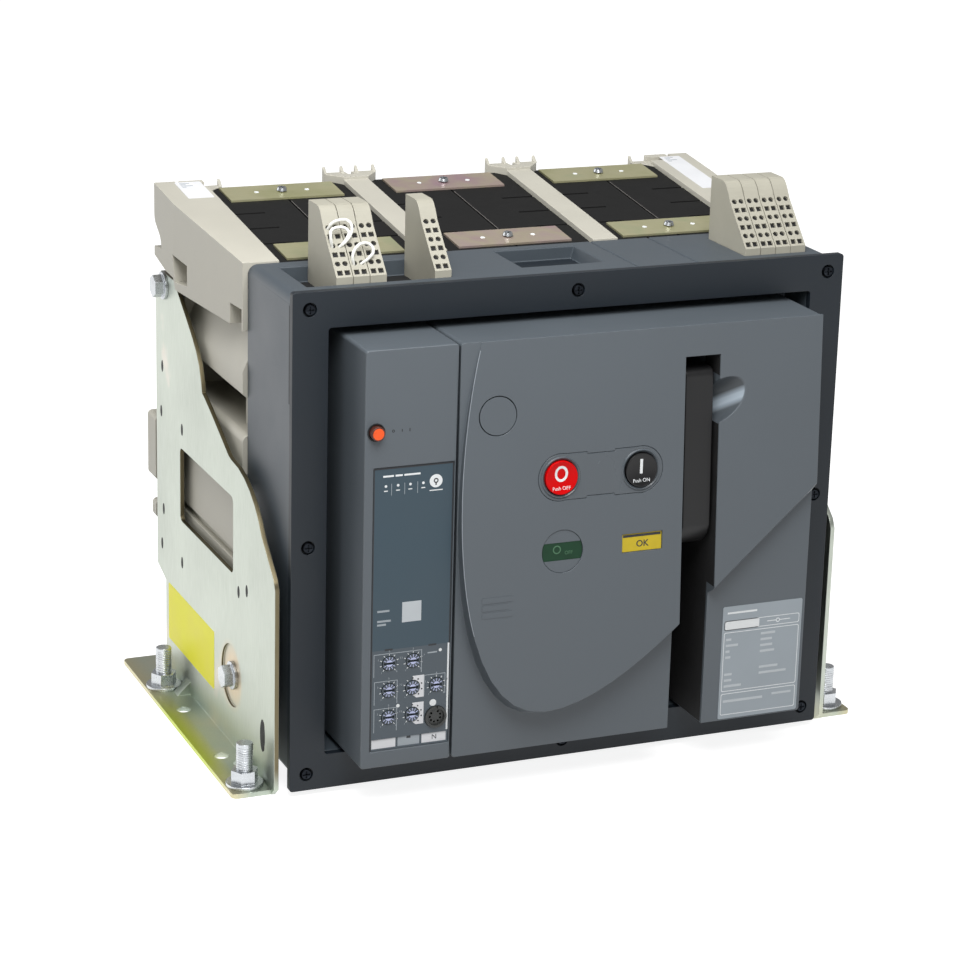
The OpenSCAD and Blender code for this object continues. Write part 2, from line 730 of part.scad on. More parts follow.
// The charging handle: a flat grip with a round top edge, sunk in the leaf panel, on an arm that curves back
// to its pin
module charging_handle() {
    x0 = slot_x - handle_w / 2;
    grip_z0 = pivot_z + 6;
    low_front = leaf_at(grip_z0) + handle_sink;
    top_front = leaf_at(handle_z1) + handle_sink;
    arm_z = pivot_z - pivot_boss_r + 1;
    color(black) place() {
        side_plate(x0, x0 + handle_w)
            polygon(concat(curve([[low_front, grip_z0], [low_front + 2, pivot_z - 4], [handle_back - 12, arm_z],
                                  [pivot_y, arm_z]], 8),
                           [[pivot_y + 8, pivot_z], [handle_back + 6, pivot_z + 16],
                            [handle_back, pivot_z + 30], [handle_back, handle_z1]],
                           curve([[top_front + 5, handle_z1], [top_front + 2, handle_z1],
                                  [top_front, handle_z1 - 2], [top_front, handle_z1 - 5]], 5)));
        pin_x([pivot_y, pivot_z], pivot_boss_r, x0, x0 + handle_w);
        pin_x([pivot_y, pivot_z], pivot_r, slot_x - slot_w / 2 - pivot_seat + 1,
              slot_x + slot_w / 2 + pivot_seat - 1);
    }
}

// Side view of a control terminal block: a flat top, a round shoulder and a sloping front
module block_shape() {
    z0 = housing_top - block_sink;
    z1 = housing_top + block_h;
    y_top = block_back - block_top_d;
    y_slope = y_top - block_shoulder;
    polygon(concat([[block_front, z0], [block_back, z0], [block_back, z1]],
                   curve([[y_top, z1], [y_top - 5, z1], [y_slope + 3, z1 - block_shoulder + 5],
                          [y_slope, z1 - block_shoulder]], 6),
                   [[block_front, housing_top + block_lip]]));
}

// Places of the columns and rows of holes on a block's sloping front
function column_x(c) = (floor(c / 2) + 0.5) * module_w + (c % 2 - 0.5) * column_gap;
function row_y(row) = (row + 0.5) * block_row;

// Carries its children to the foot of a block's sloping front, with X across, Y up the slope and Z out of it
module on_slope(b) {
    translate([b[0], block_front, housing_top + block_lip]) rotate([block_slope, 0, 0]) children();
}

// A control terminal block: modules with seams, round wire holes and square clamp holes in turn
module terminal_block(b) {
    color(pale) place() difference() {
        side_plate(b[0], b[0] + b[1] * module_w) block_shape();
        for (i = [1 : 1 : b[1] - 1])
            side_plate(b[0] + i * module_w - seam_cut / 2, b[0] + i * module_w + seam_cut / 2) difference() {
                block_shape();
                translate([2 * seam_cut, -2 * seam_cut]) block_shape();
            }
        on_slope(b) for (column = [0 : 2 * b[1] - 1], row = [0 : hole_rows - 1])
            translate([column_x(column), row_y(row), -hole_depth])
                if (row % 2 == 0)
                    translate([-hole_size / 2, -hole_size / 2, 0]) cube([hole_size, hole_size, 2 * hole_depth]);
                else
                    cylinder(r = hole_size / 2, h = 2 * hole_depth);
    }
}
module terminal_block_left() { terminal_block(blocks[0]); }
module terminal_block_middle() { terminal_block(blocks[1]); }
module terminal_block_right() { terminal_block(blocks[2]); }

// Stiff wire links that bridge terminals of the left block, leaning on its sloping front
module jumper_wires() {
    color("white") place() on_slope(blocks[0]) for (j = jumpers)
        translate([(column_x(j[0]) + column_x(j[1])) / 2, row_y(j[2]), 0]) rotate([wire_lean, 0, 0])
            rotate_extrude(angle = 180)
                translate([(column_x(j[1]) - column_x(j[0])) / 2, 0]) circle(r = wire_r);
}

// Side view of a bracket: a foot plate that rises in long curves to the ear at the top of its back edge
module bracket_shape() {
    polygon(concat([[foot_y0, 0], [heel_y, 0], [heel_y, heel_z], [bracket_y1, heel_z + 6],
                    [bracket_y1, ear_z - 20], [bracket_y1 - 12, ear_z], [ear_y + 3, ear_z]],
                   curve([[ear_y, ear_z - 4], [180, ear_z - 20], [154, 240], [149, 221]], 6),
                   curve([[147, 214], [140, 212], [116, 200], [93, 189]], 6),
                   curve([[88, 188], [60, 188], [40, 174], [29, 157]], 6),
                   [[bracket_y0 + 3, 138], [bracket_y0, 132], [bracket_y0, 5]]));
}

// A steel side bracket with its foot, for the left side
module bracket() {
    difference() {
        union() {
            side_plate(-bracket_out, -bracket_in) difference() {
                bracket_shape();
                round_rect([window_y[0], window_z[0]], [window_y[1], window_z[1]], 4);
                for (h = slot_holes) translate(h) round_rect([-1.3, -3.5], [1.3, 3.5], 1.2);
                translate([26, 32]) round_rect([-3.5, -10], [3.5, 10], 3.4);
                translate(top_bolt) circle(bolt_r + 0.5);
            }
            pin_x(low_bolt, dish_r + bracket_t, -bracket_in - eps, -bracket_in + dish_d);
            floor_plate(0, bracket_t) round_rect([-foot_x, foot_y0], [-bracket_in, foot_y1], foot_round);
            for (y = dart_ys) translate([0, y + dart / 2, 0]) rotate([90, 0, 0]) linear_extrude(dart)
                polygon([[-bracket_out + eps, bracket_t - eps], [-bracket_out + eps, bracket_t + dart],
                         [-bracket_out - dart, bracket_t - eps]]);
        }
        pin_x(low_bolt, dish_r, -bracket_out - eps, -bracket_out + dish_d);
        pin_x(low_bolt, bolt_r + 0.5, -bracket_out - eps, -bracket_in + dish_d + eps);
        for (y = foot_hole_ys) translate([-stud_x, y, -eps]) cylinder(r = foot_hole_r, h = bracket_t + 2 * eps);
        for (y = [stud_y0, stud_y0 + stud_pitch])
            translate([-stud_x, y, -eps]) cylinder(r = stud_r + fit_gap, h = bracket_t + 2 * eps);
    }
}
module left_bracket() { color(zinc) place() bracket(); }
module right_bracket() { color(zinc) place() mirror([1, 0, 0]) bracket(); }

// A hex bolt with a washer and a spacer, given the spacer's end and the seat of the washer
module bracket_bolt(pos, spacer_end, seat) {
    pin_x(pos, bolt_r * 2, rear_x, spacer_end);
    pin_x(pos, bolt_r, rear_x, seat + washer_t + 1);
    pin_x(pos, head_r + 1.5, seat, seat + washer_t);
    translate([seat + washer_t, pos[0], pos[1]]) rotate([0, 90, 0]) cylinder(r = head_r, h = head_h, $fn = 6);
}

// Hex bolts that hold the brackets to the case
module bracket_bolts() {
    color(zinc) place() both_sides() {
        bracket_bolt(top_bolt, bracket_in, bracket_out);
        bracket_bolt(low_bolt, bracket_in - dish_d, bracket_out - dish_d);
    }
}

// Threaded studs on the feet, each with a washer and a nut
module foot_studs() {
    color(zinc) place() both_sides() for (y = [stud_y0, stud_y0 + stud_pitch]) translate([stud_x, y, 0]) {
        cylinder(r = stud_r, h = stud_h);
        translate([0, 0, bracket_t]) cylinder(r = washer_r, h = washer_t);
        translate([0, 0, bracket_t + washer_t]) cylinder(r = nut_r, h = nut_h, $fn = 6);
    }
}

// A row of main terminal pads, one to a pole, with two bolt holes each
module main_terminals(z) {
    color("peru") place() for (p = poles) translate([p * pole_pitch, 0, 0]) difference() {
        union() {
            floor_plate(z - pad_t / 2, z + pad_t / 2)
                round_rect([-pad_w / 2, case_back - pad_in], [pad_w / 2, pad_back], pad_round);
            block([-pad_w / 2, case_back - pad_in, z - pad_t / 2], [pad_w / 2, case_back, z + pad_t / 2]);
        }
        for (s = [-1, 1]) translate([s * pad_hole_pitch / 2, pad_hole_y, z - pad_t])
            cylinder(r = pad_hole_r, h = 2 * pad_t);
    }
}
module upper_terminals() { main_terminals(upper_pad_z); }
module lower_terminals() { main_terminals(lower_pad_z); }

rear_case();
upper_case();
arc_chute_left();
arc_chute_centre();
arc_chute_right();
arc_chute_clamps();
front_housing();
door_frame();
front_cover();
trip_unit_cover();
trip_unit();
test_connector();
dial_1();
dial_2();
dial_3();
dial_4();
dial_5();
dial_6();
dial_7();
reset_button();
button_bezel();
off_button();
on_button();
lock_blank();
contact_indicator();
spring_indicator();
charging_handle();
terminal_block_left();
terminal_block_middle();
terminal_block_right();
jumper_wires();
left_bracket();
right_bracket();
bracket_bolts();
foot_studs();
upper_terminals();
lower_terminals();
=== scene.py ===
"""Dresses a fixed three-pole air circuit breaker.

Adds finishes, printed marks, labels, screws, threads and wire links to the shapes of the CAD model.
"""

import json
import math

import bmesh
import bpy
from bpy.props import FloatProperty, FloatVectorProperty, IntProperty, PointerProperty
from mathutils import Matrix, Vector
from mathutils.bvhtree import BVHTree

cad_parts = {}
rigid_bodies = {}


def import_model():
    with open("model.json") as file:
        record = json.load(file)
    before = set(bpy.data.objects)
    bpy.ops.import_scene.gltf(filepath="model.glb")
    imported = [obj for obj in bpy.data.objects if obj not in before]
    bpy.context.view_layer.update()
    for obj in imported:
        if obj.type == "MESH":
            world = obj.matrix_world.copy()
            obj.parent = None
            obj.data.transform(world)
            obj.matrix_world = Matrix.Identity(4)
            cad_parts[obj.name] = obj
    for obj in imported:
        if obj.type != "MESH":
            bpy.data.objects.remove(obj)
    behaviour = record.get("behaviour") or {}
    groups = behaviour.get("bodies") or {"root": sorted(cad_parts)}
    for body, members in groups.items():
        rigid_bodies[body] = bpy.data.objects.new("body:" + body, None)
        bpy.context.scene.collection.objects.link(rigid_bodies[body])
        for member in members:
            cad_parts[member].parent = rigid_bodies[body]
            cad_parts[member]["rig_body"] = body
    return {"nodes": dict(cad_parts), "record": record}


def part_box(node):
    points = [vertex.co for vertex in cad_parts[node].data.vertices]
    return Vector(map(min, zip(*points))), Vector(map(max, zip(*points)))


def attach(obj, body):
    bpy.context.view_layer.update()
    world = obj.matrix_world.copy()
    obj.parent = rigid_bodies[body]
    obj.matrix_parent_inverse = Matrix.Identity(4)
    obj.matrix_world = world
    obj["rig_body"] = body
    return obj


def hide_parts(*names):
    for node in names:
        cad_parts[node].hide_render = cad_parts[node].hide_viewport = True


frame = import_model()

bl_info = {
    "name": "Air Circuit Breaker Finish",
    "version": (1, 0, 0),
    "blender": (4, 5, 0),
    "location": "View3D > Sidebar > Breaker",
    "description": "Gives a three-pole air circuit breaker its finishes, marks, labels and small fasteners",
    "category": "Object",
}

MM = 0.001
MICRON = 0.000001
ROOT = "breaker"
BOX = {name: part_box(name) for name in frame["nodes"]}
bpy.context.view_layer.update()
JOINTS = {joint["child"]: joint for joint in frame["record"]["behaviour"]["joints"]}
CHUTES = ("arc_chute_left", "arc_chute_centre", "arc_chute_right")
BLOCKS = ("terminal_block_left", "terminal_block_middle", "terminal_block_right")
DIALS = ["dial_%d" % number for number in range(1, 8)]
X, Y, Z = Vector((1, 0, 0)), Vector((0, 1, 0)), Vector((0, 0, 1))
FACING_FRONT = (math.pi / 2, 0, 0)

# Faces that details sit on, in metres
DOOR_Y = BOX["door_frame"][0].y
COVER_Y = BOX["trip_unit_cover"][0].y
TRIP_Y = BOX["trip_unit"][0].y
# The leaf panel leans with the push-buttons' travel, from a small step at its top edge
PRESS = Vector(JOINTS["off_button"]["axis"])
LEAF_STEP = 0.0006
# Middle and radius of the thumb scoop, and its lowest and highest point on the slot's edge
SCOOP, SCOOP_RADIUS = (0.085, DOOR_Y - 0.035, 0.2375), 0.017
SCOOP_FOOT, SCOOP_TOP = 0.2225, 0.2525
# The terminal blocks' sloping front: its angle, its rows, and in millimetres the pitches of its holes
BLOCK_SLOPE, BLOCK_ROWS = math.atan2(25, 24), 6
BLOCK_ROW, BLOCK_MODULE, BLOCK_PAIR = 6.188, 10.4, 4.576
BLOCK_LIP = 0.004
# Top of the panel round the dials
PANEL_TOP = 0.102
POLE_PITCH = 0.115
# Tinted places of the brackets: the feet's outer rim, a strip along it that is a painted reflection of the
# yellow sticker, and a dish in the upright
RIM_START, RIM_END = 0.199, 0.209
STRIP_MIDDLE, STRIP_END, STRIP_FULL = DOOR_Y + 0.105, 0.085, 0.04
DISH, DISH_EDGE, DISH_FLOOR = (0, DOOR_Y + 0.088, 0.048), 0.024, 0.012
# Middle of the sticker on the bracket's plate
STICKER_Y, STICKER_Z = DOOR_Y + 0.172, 0.045
# Thickness of the dark linings that stand for deep shadow
LINING = 0.0001
# Range that most cloudy values keep to, size of the rolling lines in metal, and strength of their relief
CLOUDS = (0.3, 0.7)
ROLL_LINE, ROLL_RELIEF = 0.0009, 0.35


def srgb(red, green, blue):
    """A colour as a monitor shows it, from 0 to 255, as linear light."""
    def linear(value):
        value /= 255
        return value / 12.92 if value <= 0.04045 else ((value + 0.055) / 1.055) ** 2.4
    return linear(red), linear(green), linear(blue)


def colour_property(name, description, default):
    return FloatVectorProperty(name=name, description=description, default=default, subtype="COLOR", size=3,
                               min=0, max=1)


def length_property(name, description, default):
    return FloatProperty(name=name, description=description, default=default, unit="LENGTH", min=0)


def angle_property(name, description, degrees):
    return FloatProperty(name=name, description=description, default=math.radians(degrees), subtype="ANGLE")


def power_property(name, description, default):
    return FloatProperty(name=name, description=description, default=default, unit="POWER")


class BreakerColours(bpy.types.PropertyGroup):
    """Colours of the breaker's finishes."""
    case: colour_property("Case", "Moulded beige case and its walls", srgb(184, 181, 169))
    chute: colour_property("Arc chutes", "Black tops of the arc chutes", srgb(20, 20, 20))
    housing: colour_property("Housing", "Dark front housing", srgb(68, 76, 83))
    frame: colour_property("Door frame", "Near-black frame round the door opening", srgb(26, 33, 40))
    cover: colour_property("Cover", "Slate front cover", srgb(85, 92, 98))
    trip_plate: colour_property("Trip plate", "Blue-grey plate of the trip unit", srgb(44, 65, 77))
    dial_panel: colour_property("Dial panel", "Grey panel round the dials", srgb(68, 78, 86))
    zinc: colour_property("Zinc", "Zinc-plated steel of the brackets", srgb(180, 186, 176))
    # Painted reflection: the yellow-green of the strip along the feet's outer rim
    passivated: colour_property("Passivated zinc", "Yellow-green tint of the feet", srgb(186, 198, 92))
    blocks: colour_property("Terminal blocks", "Pale control terminal blocks", srgb(167, 164, 150))
    red: colour_property("Red", "OFF push-button", srgb(210, 3, 6))
    black: colour_property("Black", "ON push-button and charging handle", srgb(24, 24, 25))
    green: colour_property("Green", "Band of the contact indicator", srgb(24, 58, 38))
    yellow: colour_property("Yellow", "Ready window", srgb(204, 180, 44))
    orange: colour_property("Orange", "Reset button", srgb(246, 92, 34))
    sticker: colour_property("Sticker", "Yellow sticker on the bracket", srgb(255, 248, 58))
    rating: colour_property("Rating plate", "Pale grey rating plate", srgb(156, 165, 172))


class BreakerSizes(bpy.types.PropertyGroup):
    """Sizes of the details that the finishes add."""
    print_height: length_property("Print height", "How far printed marks stand out", 0.00006)
    label_height: length_property("Label height", "Thickness of stickers and labels", 0.00015)
    edge: length_property("Edge radius", "Rounding of the large moulded edges", 0.0008)
    fine_edge: length_property("Fine edge radius", "Rounding of small or sharp edges", 0.0003)
    frame_screw: length_property("Frame screw", "Head radius of the door frame's screws", 0.0036)
    clamp_screw: length_property("Clamp screw", "Head radius of the clamp strips' screws", 0.0034)
    thread_pitch: length_property("Thread pitch", "Pitch of the foot studs' thread", 0.0015)
    wire: length_property("Wire radius", "Radius of the white wire links", 0.00095)


class BreakerView(bpy.types.PropertyGroup):
    """Camera and light of the studio."""
    yaw: angle_property("Yaw", "Turn of the view to the right of straight on", 23.09)
    pitch: angle_property("Pitch", "How far the view looks down", 17.5)
    roll: angle_property("Roll", "Tilt of the camera about its view", 1.59)
    place: FloatVectorProperty(name="Place", description="Camera's place, with depth from the door frame",
                               default=(-0.7048, -1.5263, 0.7121), subtype="TRANSLATION", size=3)
    focal: FloatProperty(name="Focal length", description="In pixels of a picture 960 wide", default=2915.8)
    centre: FloatVectorProperty(name="Centre", description="Optical centre in pixels of a picture 960 wide",
                                default=(489.1, 479.8), size=2)
    ambient: FloatProperty(name="Ambient", description="Strength of the even light", default=0.36)
    key: power_property("Key", "Power of the softbox overhead", 27)
    side: power_property("Side", "Power of the softbox at the left and behind", 10.5)
    front: power_property("Front", "Power of the small softbox above the cover", 6)
    floor: FloatProperty(name="Floor glow", description="Brightness of the white floor's own light",
                         default=0.85)
    picture: IntProperty(name="Picture", description="Width of the picture in pixels", default=960)


def colours():
    return bpy.context.scene.breaker_colours


def sizes():
    return bpy.context.scene.breaker_sizes


# Finishes

class NodeBuilder:
    """Adds nodes to a tree and links them by name."""

    def __init__(self, tree):
        self.tree = tree

    def add(self, kind, values=None, **settings):
        node = self.tree.nodes.new(kind)
        for key, value in settings.items():
            setattr(node, key, value)
        for key, value in (values or {}).items():
            self.feed(node.inputs[key], value)
        return node

    def feed(self, socket, value):
        """Links an output to a socket, or sets the socket."""
        if isinstance(value, bpy.types.NodeSocket):
            self.tree.links.new(value, socket)
        else:
            socket.default_value = value

    def compute(self, operation, first, second=0.0):
        return self.add("ShaderNodeMath", {0: first, 1: second}, operation=operation).outputs["Value"]

    def times(self, first, second):
        return self.compute("MULTIPLY", first, second)


class Finish(NodeBuilder):
    """A new material, patterned on Object coordinates."""

    def __init__(self, name):
        self.material = bpy.data.materials.new(name)
        self.material.use_nodes = True
        super().__init__(self.material.node_tree)
        self.coordinates = self.add("ShaderNodeTexCoord").outputs
        self.place = self.coordinates["Object"]

    def surface(self, colour, roughness, relief=None, metallic=0.0, specular=0.5):
        """Feeds the shader and gives back the material."""
        inputs = self.tree.nodes["Principled BSDF"].inputs
        self.feed(inputs["Base Color"], colour)
        self.feed(inputs["Roughness"], roughness)
        self.feed(inputs["Metallic"], metallic)
        self.feed(inputs["Specular IOR Level"], specular)
        if relief is not None:
            self.feed(inputs["Normal"], relief)
        return self.material

    def rolled(self, colour, roughness, stretch, depth, metallic=1.0):
        """Sheet metal with rolling lines in its gloss and its relief."""
        lines = self.noise(ROLL_LINE, 2, stretch)
        relief = self.bump(lines, depth, ROLL_RELIEF)
        return self.surface(colour, self.spread(lines, *roughness), relief, metallic)

    def axes(self, vector):
        return self.add("ShaderNodeSeparateXYZ", {"Vector": vector}).outputs

    def facing(self):
        """How far the surface faces along each axis."""
        return self.axes(self.coordinates["Normal"])

    def measure(self, operation, first, second):
        """One number out of two vectors."""
        return self.add("ShaderNodeVectorMath", {0: first, 1: second}, operation=operation).outputs["Value"]

    def noise(self, size, detail, stretch=(1, 1, 1)):
        """Cloudy values from 0 to 1 with features of a size in metres, drawn out along stretched axes."""
        scale = [1 / (size * factor) for factor in stretch]
        mapping = self.add("ShaderNodeMapping", {"Vector": self.place, "Scale": scale})
        values = {"Vector": mapping.outputs["Vector"], "Scale": 1.0, "Detail": detail}
        return self.add("ShaderNodeTexNoise", values).outputs["Fac"]

    def ramp(self, factor, stops):
        """Colours at places from 0 to 1."""
        node = self.add("ShaderNodeValToRGB", {"Fac": factor})
        elements = node.color_ramp.elements
        while len(elements) < len(stops):
            elements.new(0.5)
        for element, (place, colour) in zip(elements, stops):
            element.position = place
            element.color = (*colour, 1)
        return node.outputs["Color"]

    def mottled(self, clouds, colour, mottle):
        """A colour that turns a little darker and lighter with the clouds."""
        darker, lighter = shade(colour, 1 - mottle), shade(colour, 1 + mottle)
        return self.ramp(clouds, list(zip(CLOUDS, (darker, lighter))))

    def between(self, value, low, high, first=0.0, last=1.0, kind="LINEAR"):
        """A value turned from one range into another and held at its ends."""
        values = {"Value": value, "From Min": low, "From Max": high, "To Min": first, "To Max": last}
        return self.add("ShaderNodeMapRange", values, interpolation_type=kind).outputs["Result"]

    def spread(self, clouds, low, high):
        """A cloudy value turned into a range."""
        return self.between(clouds, *CLOUDS, low, high)

    def above(self, axis, low, high):
        """0 below a place along an axis, 1 above another, and smooth between them."""
        return self.between(self.axes(self.place)[axis], low, high, kind="SMOOTHSTEP")

    def blend(self, factor, first, second):
        """The first colour at 0 and the second at 1."""
        return self.add("ShaderNodeMix", {"Factor": factor, 6: first, 7: second}, data_type="RGBA").outputs[2]

    def bump(self, height, depth, strength=0.5):
        values = {"Height": height, "Distance": depth, "Strength": strength}
        return self.add("ShaderNodeBump", values).outputs["Normal"]


def shade(colour, factor):
    return tuple(min(1.0, channel * factor) for channel in colour)


def moulded(name, colour, roughness, mottle, patch, grain, depth, specular=0.5):
    """Moulded plastic: faint cloudy shade, uneven gloss and a fine grain."""
    look = Finish(name)
    clouds = look.noise(patch * MM, 5)
    gloss = look.spread(clouds, roughness - 0.05, roughness + 0.05)
    relief = look.bump(look.noise(grain * MM, 2), depth * MICRON)
    return look.surface(look.mottled(clouds, colour, mottle), gloss, relief, specular=specular)


def printed(name, colour):
    """Ink or label film: an even colour with slight unevenness."""
    return moulded(name, colour, roughness=0.55, mottle=0.025, patch=12, grain=0.3, depth=10)


def plated(name, stops, roughness, patch, stretch=(1, 1, 1)):
    """Plated steel: drifting tints, fine rolling lines and uneven gloss."""
    look = Finish(name)
    tints = look.ramp(look.noise(patch * MM, 4), stops)
    return look.rolled(tints, (roughness - 0.04, roughness + 0.05), stretch, 10 * MICRON)


def cover_moulding():
    """Slate plastic of the cover; in the thumb scoop, painted shade where it faces down and a painted
    highlight in a band where it starts to face up.
    """
    look, slate = Finish("slate_cover"), colours().cover
    clouds = look.noise(0.08, 5)
    facing = look.facing()
    # Painted shade and painted highlight in the scoop, set by how far the surface faces up
    scoop_painted_shade, scoop_painted_highlight, dim = (shade(slate, factor) for factor in (0.5, 3.6, 0.7))
    scoop_painted_light = look.ramp(look.between(facing["Z"], -1, 1),
                       [(0.0, scoop_painted_shade), (0.4, scoop_painted_shade), (0.53, scoop_painted_highlight), (0.64, scoop_painted_highlight), (0.76, dim)])
    leaf = PRESS.dot(leaf_face().translation)
    below_leaf = look.between(look.measure("DOT_PRODUCT", look.place, PRESS), leaf + 0.0004, leaf + 0.001)
    near = look.between(look.measure("DISTANCE", look.place, SCOOP), SCOOP_RADIUS, SCOOP_RADIUS - 0.0005)
    off_wall = look.between(facing["X"], -0.95, -0.85)
    scoop = look.times(look.times(below_leaf, near), off_wall)
    colour = look.blend(scoop, look.mottled(clouds, slate, 0.025), scoop_painted_light)
    relief = look.bump(look.noise(0.0005, 2), 50 * MICRON)
    return look.surface(colour, look.spread(clouds, 0.38, 0.48), relief)


def trip_film():
    """The trip unit's film: blue-grey above, and a greyer panel round the dials."""
    look, fade = Finish("trip_film"), 0.0001
    clouds = look.noise(0.05, 4)
    films = [look.mottled(clouds, colour, 0.03) for colour in (colours().dial_panel, colours().trip_plate)]
    upper = look.above("Z", PANEL_TOP - fade, PANEL_TOP + fade)
    return look.surface(look.blend(upper, *films), look.spread(clouds, 0.34, 0.44))


def bracket_plate():
    """Zinc plate: a pale upright with cut edges darkened brown as painted shade, and a greyer foot with a
    yellow-green rim that is a painted reflection of the sticker.
    """
    look, zinc, passivated = Finish("zinc_plate"), colours().zinc, colours().passivated
    drift = look.noise(0.07, 4)
    place = look.axes(look.place)
    pale = look.ramp(drift, [(0.3, shade(zinc, 0.92)), (0.5, zinc), (0.66, shade(zinc, 1.05)),
                             (0.78, srgb(220, 206, 196))])
    foot = look.ramp(drift, [(0.3, srgb(156, 168, 158)), (0.5, srgb(182, 190, 176)),
                             (0.7, srgb(200, 196, 172))])
    # Painted reflection of the yellow sticker in the shiny foot, along part of its outer rim
    green = look.ramp(drift, [(0.3, shade(passivated, 0.9)), (0.7, passivated)])
    straw, tan, brown = (*srgb(196, 190, 158), 1), (*srgb(200, 186, 162), 1), (*srgb(112, 104, 82), 1)
    rim = look.between(look.compute("ABSOLUTE", place["X"]), RIM_START, RIM_END)
    off_middle = look.compute("ABSOLUTE", look.compute("SUBTRACT", place["Y"], STRIP_MIDDLE))
    strip = look.times(rim, look.between(off_middle, STRIP_END, STRIP_FULL))
    tinted = look.blend(strip, look.blend(rim, foot, straw), green)
    side_on = look.add("ShaderNodeVectorMath", {0: look.place, 1: (0, 1, 1)}, operation="MULTIPLY")
    dish = look.between(look.measure("DISTANCE", side_on.outputs["Vector"], DISH), DISH_EDGE, DISH_FLOOR)
    upright = look.above("Z", 0.003, 0.02)
    sheet = look.blend(upright, tinted, look.blend(dish, pale, tan))
    # Painted shade: the upright's cut edges, which face neither side, turn dark brown on the left bracket
    cut = look.between(look.compute("ABSOLUTE", look.facing()["X"]), 0.5, 0.1)
    left = look.compute("LESS_THAN", place["X"], 0)
    upright_edge_shade = look.times(look.times(cut, upright), left)
    return look.rolled(look.blend(upright_edge_shade, sheet, brown), (0.36, 0.5), (1, 1, 12), 30 * MICRON)


def clamp_strips():
    """Passivated strips: yellow-green over the outer poles and pink over the middle one."""
    look = Finish("clamp_strips")
    drift = look.noise(0.03, 3)
    off_middle = look.compute("ABSOLUTE", look.axes(look.place)["X"])
    outer = look.compute("GREATER_THAN", off_middle, POLE_PITCH / 2)
    yellow = look.ramp(drift, [(0.3, srgb(172, 171, 128)), (0.55, srgb(186, 182, 146)),
                               (0.75, srgb(170, 176, 138))])
    pink = look.ramp(drift, [(0.3, srgb(182, 160, 160)), (0.5, srgb(184, 172, 150)),
                             (0.7, srgb(176, 148, 154))])
    return look.rolled(look.blend(outer, pink, yellow), (0.34, 0.48), (14, 1, 1), 30 * MICRON, 0.6)


# Plastics: name, colour or the property that holds it, roughness, mottle, size of the clouds and of the
# grain in millimetres, depth of the grain in micrometres, and specular level where it isn't the usual one
MOULDED = {
    "case": ("beige_moulding", "case", 0.52, 0.045, 50, 0.9, 80),
    "chute": ("black_chute", "chute", 0.62, 0.12, 20, 0.8, 100, 0.2),
    "housing": ("dark_housing", "housing", 0.46, 0.05, 50, 0.6, 70),
    "frame": ("door_frame", "frame", 0.46, 0.06, 50, 0.6, 70, 0.35),
    "blocks": ("pale_block", "blocks", 0.5, 0.04, 20, 0.6, 50),
    "dial": ("dial_white", srgb(188, 195, 230), 0.4, 0.04, 4, 0.4, 30),
    "connector": ("connector_grey", srgb(46, 48, 47), 0.5, 0.08, 10, 0.5, 40),
    "black": ("black_satin", "black", 0.42, 0.1, 30, 0.5, 40, 0.35),
    "black_gloss": ("black_gloss", "black", 0.3, 0.05, 10, 0.5, 10, 0.3),
    "red": ("red_gloss", "red", 0.32, 0.04, 8, 0.5, 10, 0.12),
    "orange": ("orange_gloss", "orange", 0.3, 0.05, 4, 0.5, 10, 0.3),
    "green": ("green_band", "green", 0.4, 0.1, 6, 0.4, 10, 0.2),
    "yellow": ("yellow_window", "yellow", 0.4, 0.05, 6, 0.4, 10, 0.25),
    "rating": ("rating_film", "rating", 0.34, 0.03, 30, 0.4, 10),
    "sticker": ("yellow_sticker", "sticker", 0.45, 0.03, 30, 0.5, 20, 0.25),
    "shadow": ("deep_black", srgb(14, 14, 15), 0.7, 0.1, 10, 0.5, 20),
    "reset_skirt": ("reset_skirt", srgb(74, 34, 24), 0.5, 0.1, 4, 0.4, 20),
    # Painted highlight: pale slate for the bead along the leaf panel's left edge
    "worn_edge": ("worn_edge", srgb(146, 153, 160), 0.4, 0.06, 20, 0.5, 30),
    "wire": ("white_wire", srgb(238, 238, 232), 0.35, 0.02, 4, 0.4, 10),
}
PRINTED = {
    "white": ("white_print", srgb(232, 235, 236)),
    "faint_white": ("worn_white_print", srgb(192, 198, 202)),
    "paper": ("white_label", srgb(222, 223, 226)),
    "seam": ("chute_seam", srgb(104, 100, 98)),
    "pale": ("grey_print", srgb(158, 166, 172)),
    "ink": ("dark_print", srgb(34, 36, 40)),
    "mint": ("pale_green_print", srgb(66, 108, 78)),
}
# Metals: name, tints, roughness, size of the drifting tints in millimetres, and stretch of the rolling lines
PLATED = {
    "bright": ("bright_zinc", [(0.3, srgb(176, 180, 184)), (0.7, srgb(206, 209, 212))], 0.28, 20),
    "dark_steel": ("black_screw", [(0.3, srgb(26, 28, 32)), (0.7, srgb(48, 52, 58))], 0.4, 4),
    "pad": ("plated_copper", [(0.3, srgb(188, 184, 176)), (0.6, srgb(208, 204, 194)),
                              (0.8, srgb(214, 186, 150))], 0.3, 30, (12, 1, 1)),
}
MAKERS = {
    "cover": cover_moulding,
    "trip_plate": trip_film,
    "zinc": bracket_plate,
    "clamp": clamp_strips,
    "dial_skirt": lambda: moulded("dial_skirt", shade(colours().dial_panel, 0.8), 0.45, 0.06, 4, 0.4, 30),
    "bezel": lambda: moulded("slate_bezel", shade(colours().cover, 0.94), 0.3, 0.025, 80, 0.5, 30),
}
MADE = {}


def make_finish(key):
    if key in MAKERS:
        return MAKERS[key]()
    if key in PRINTED:
        return printed(*PRINTED[key])
    if key in PLATED:
        return plated(*PLATED[key])
    name, colour, *values = MOULDED[key]
    if isinstance(colour, str):
        colour = getattr(colours(), colour)
    return moulded(name, colour, *values)


def finish(key):
    """The material of that name, made once."""
    if key not in MADE:
        MADE[key] = make_finish(key)
    return MADE[key]


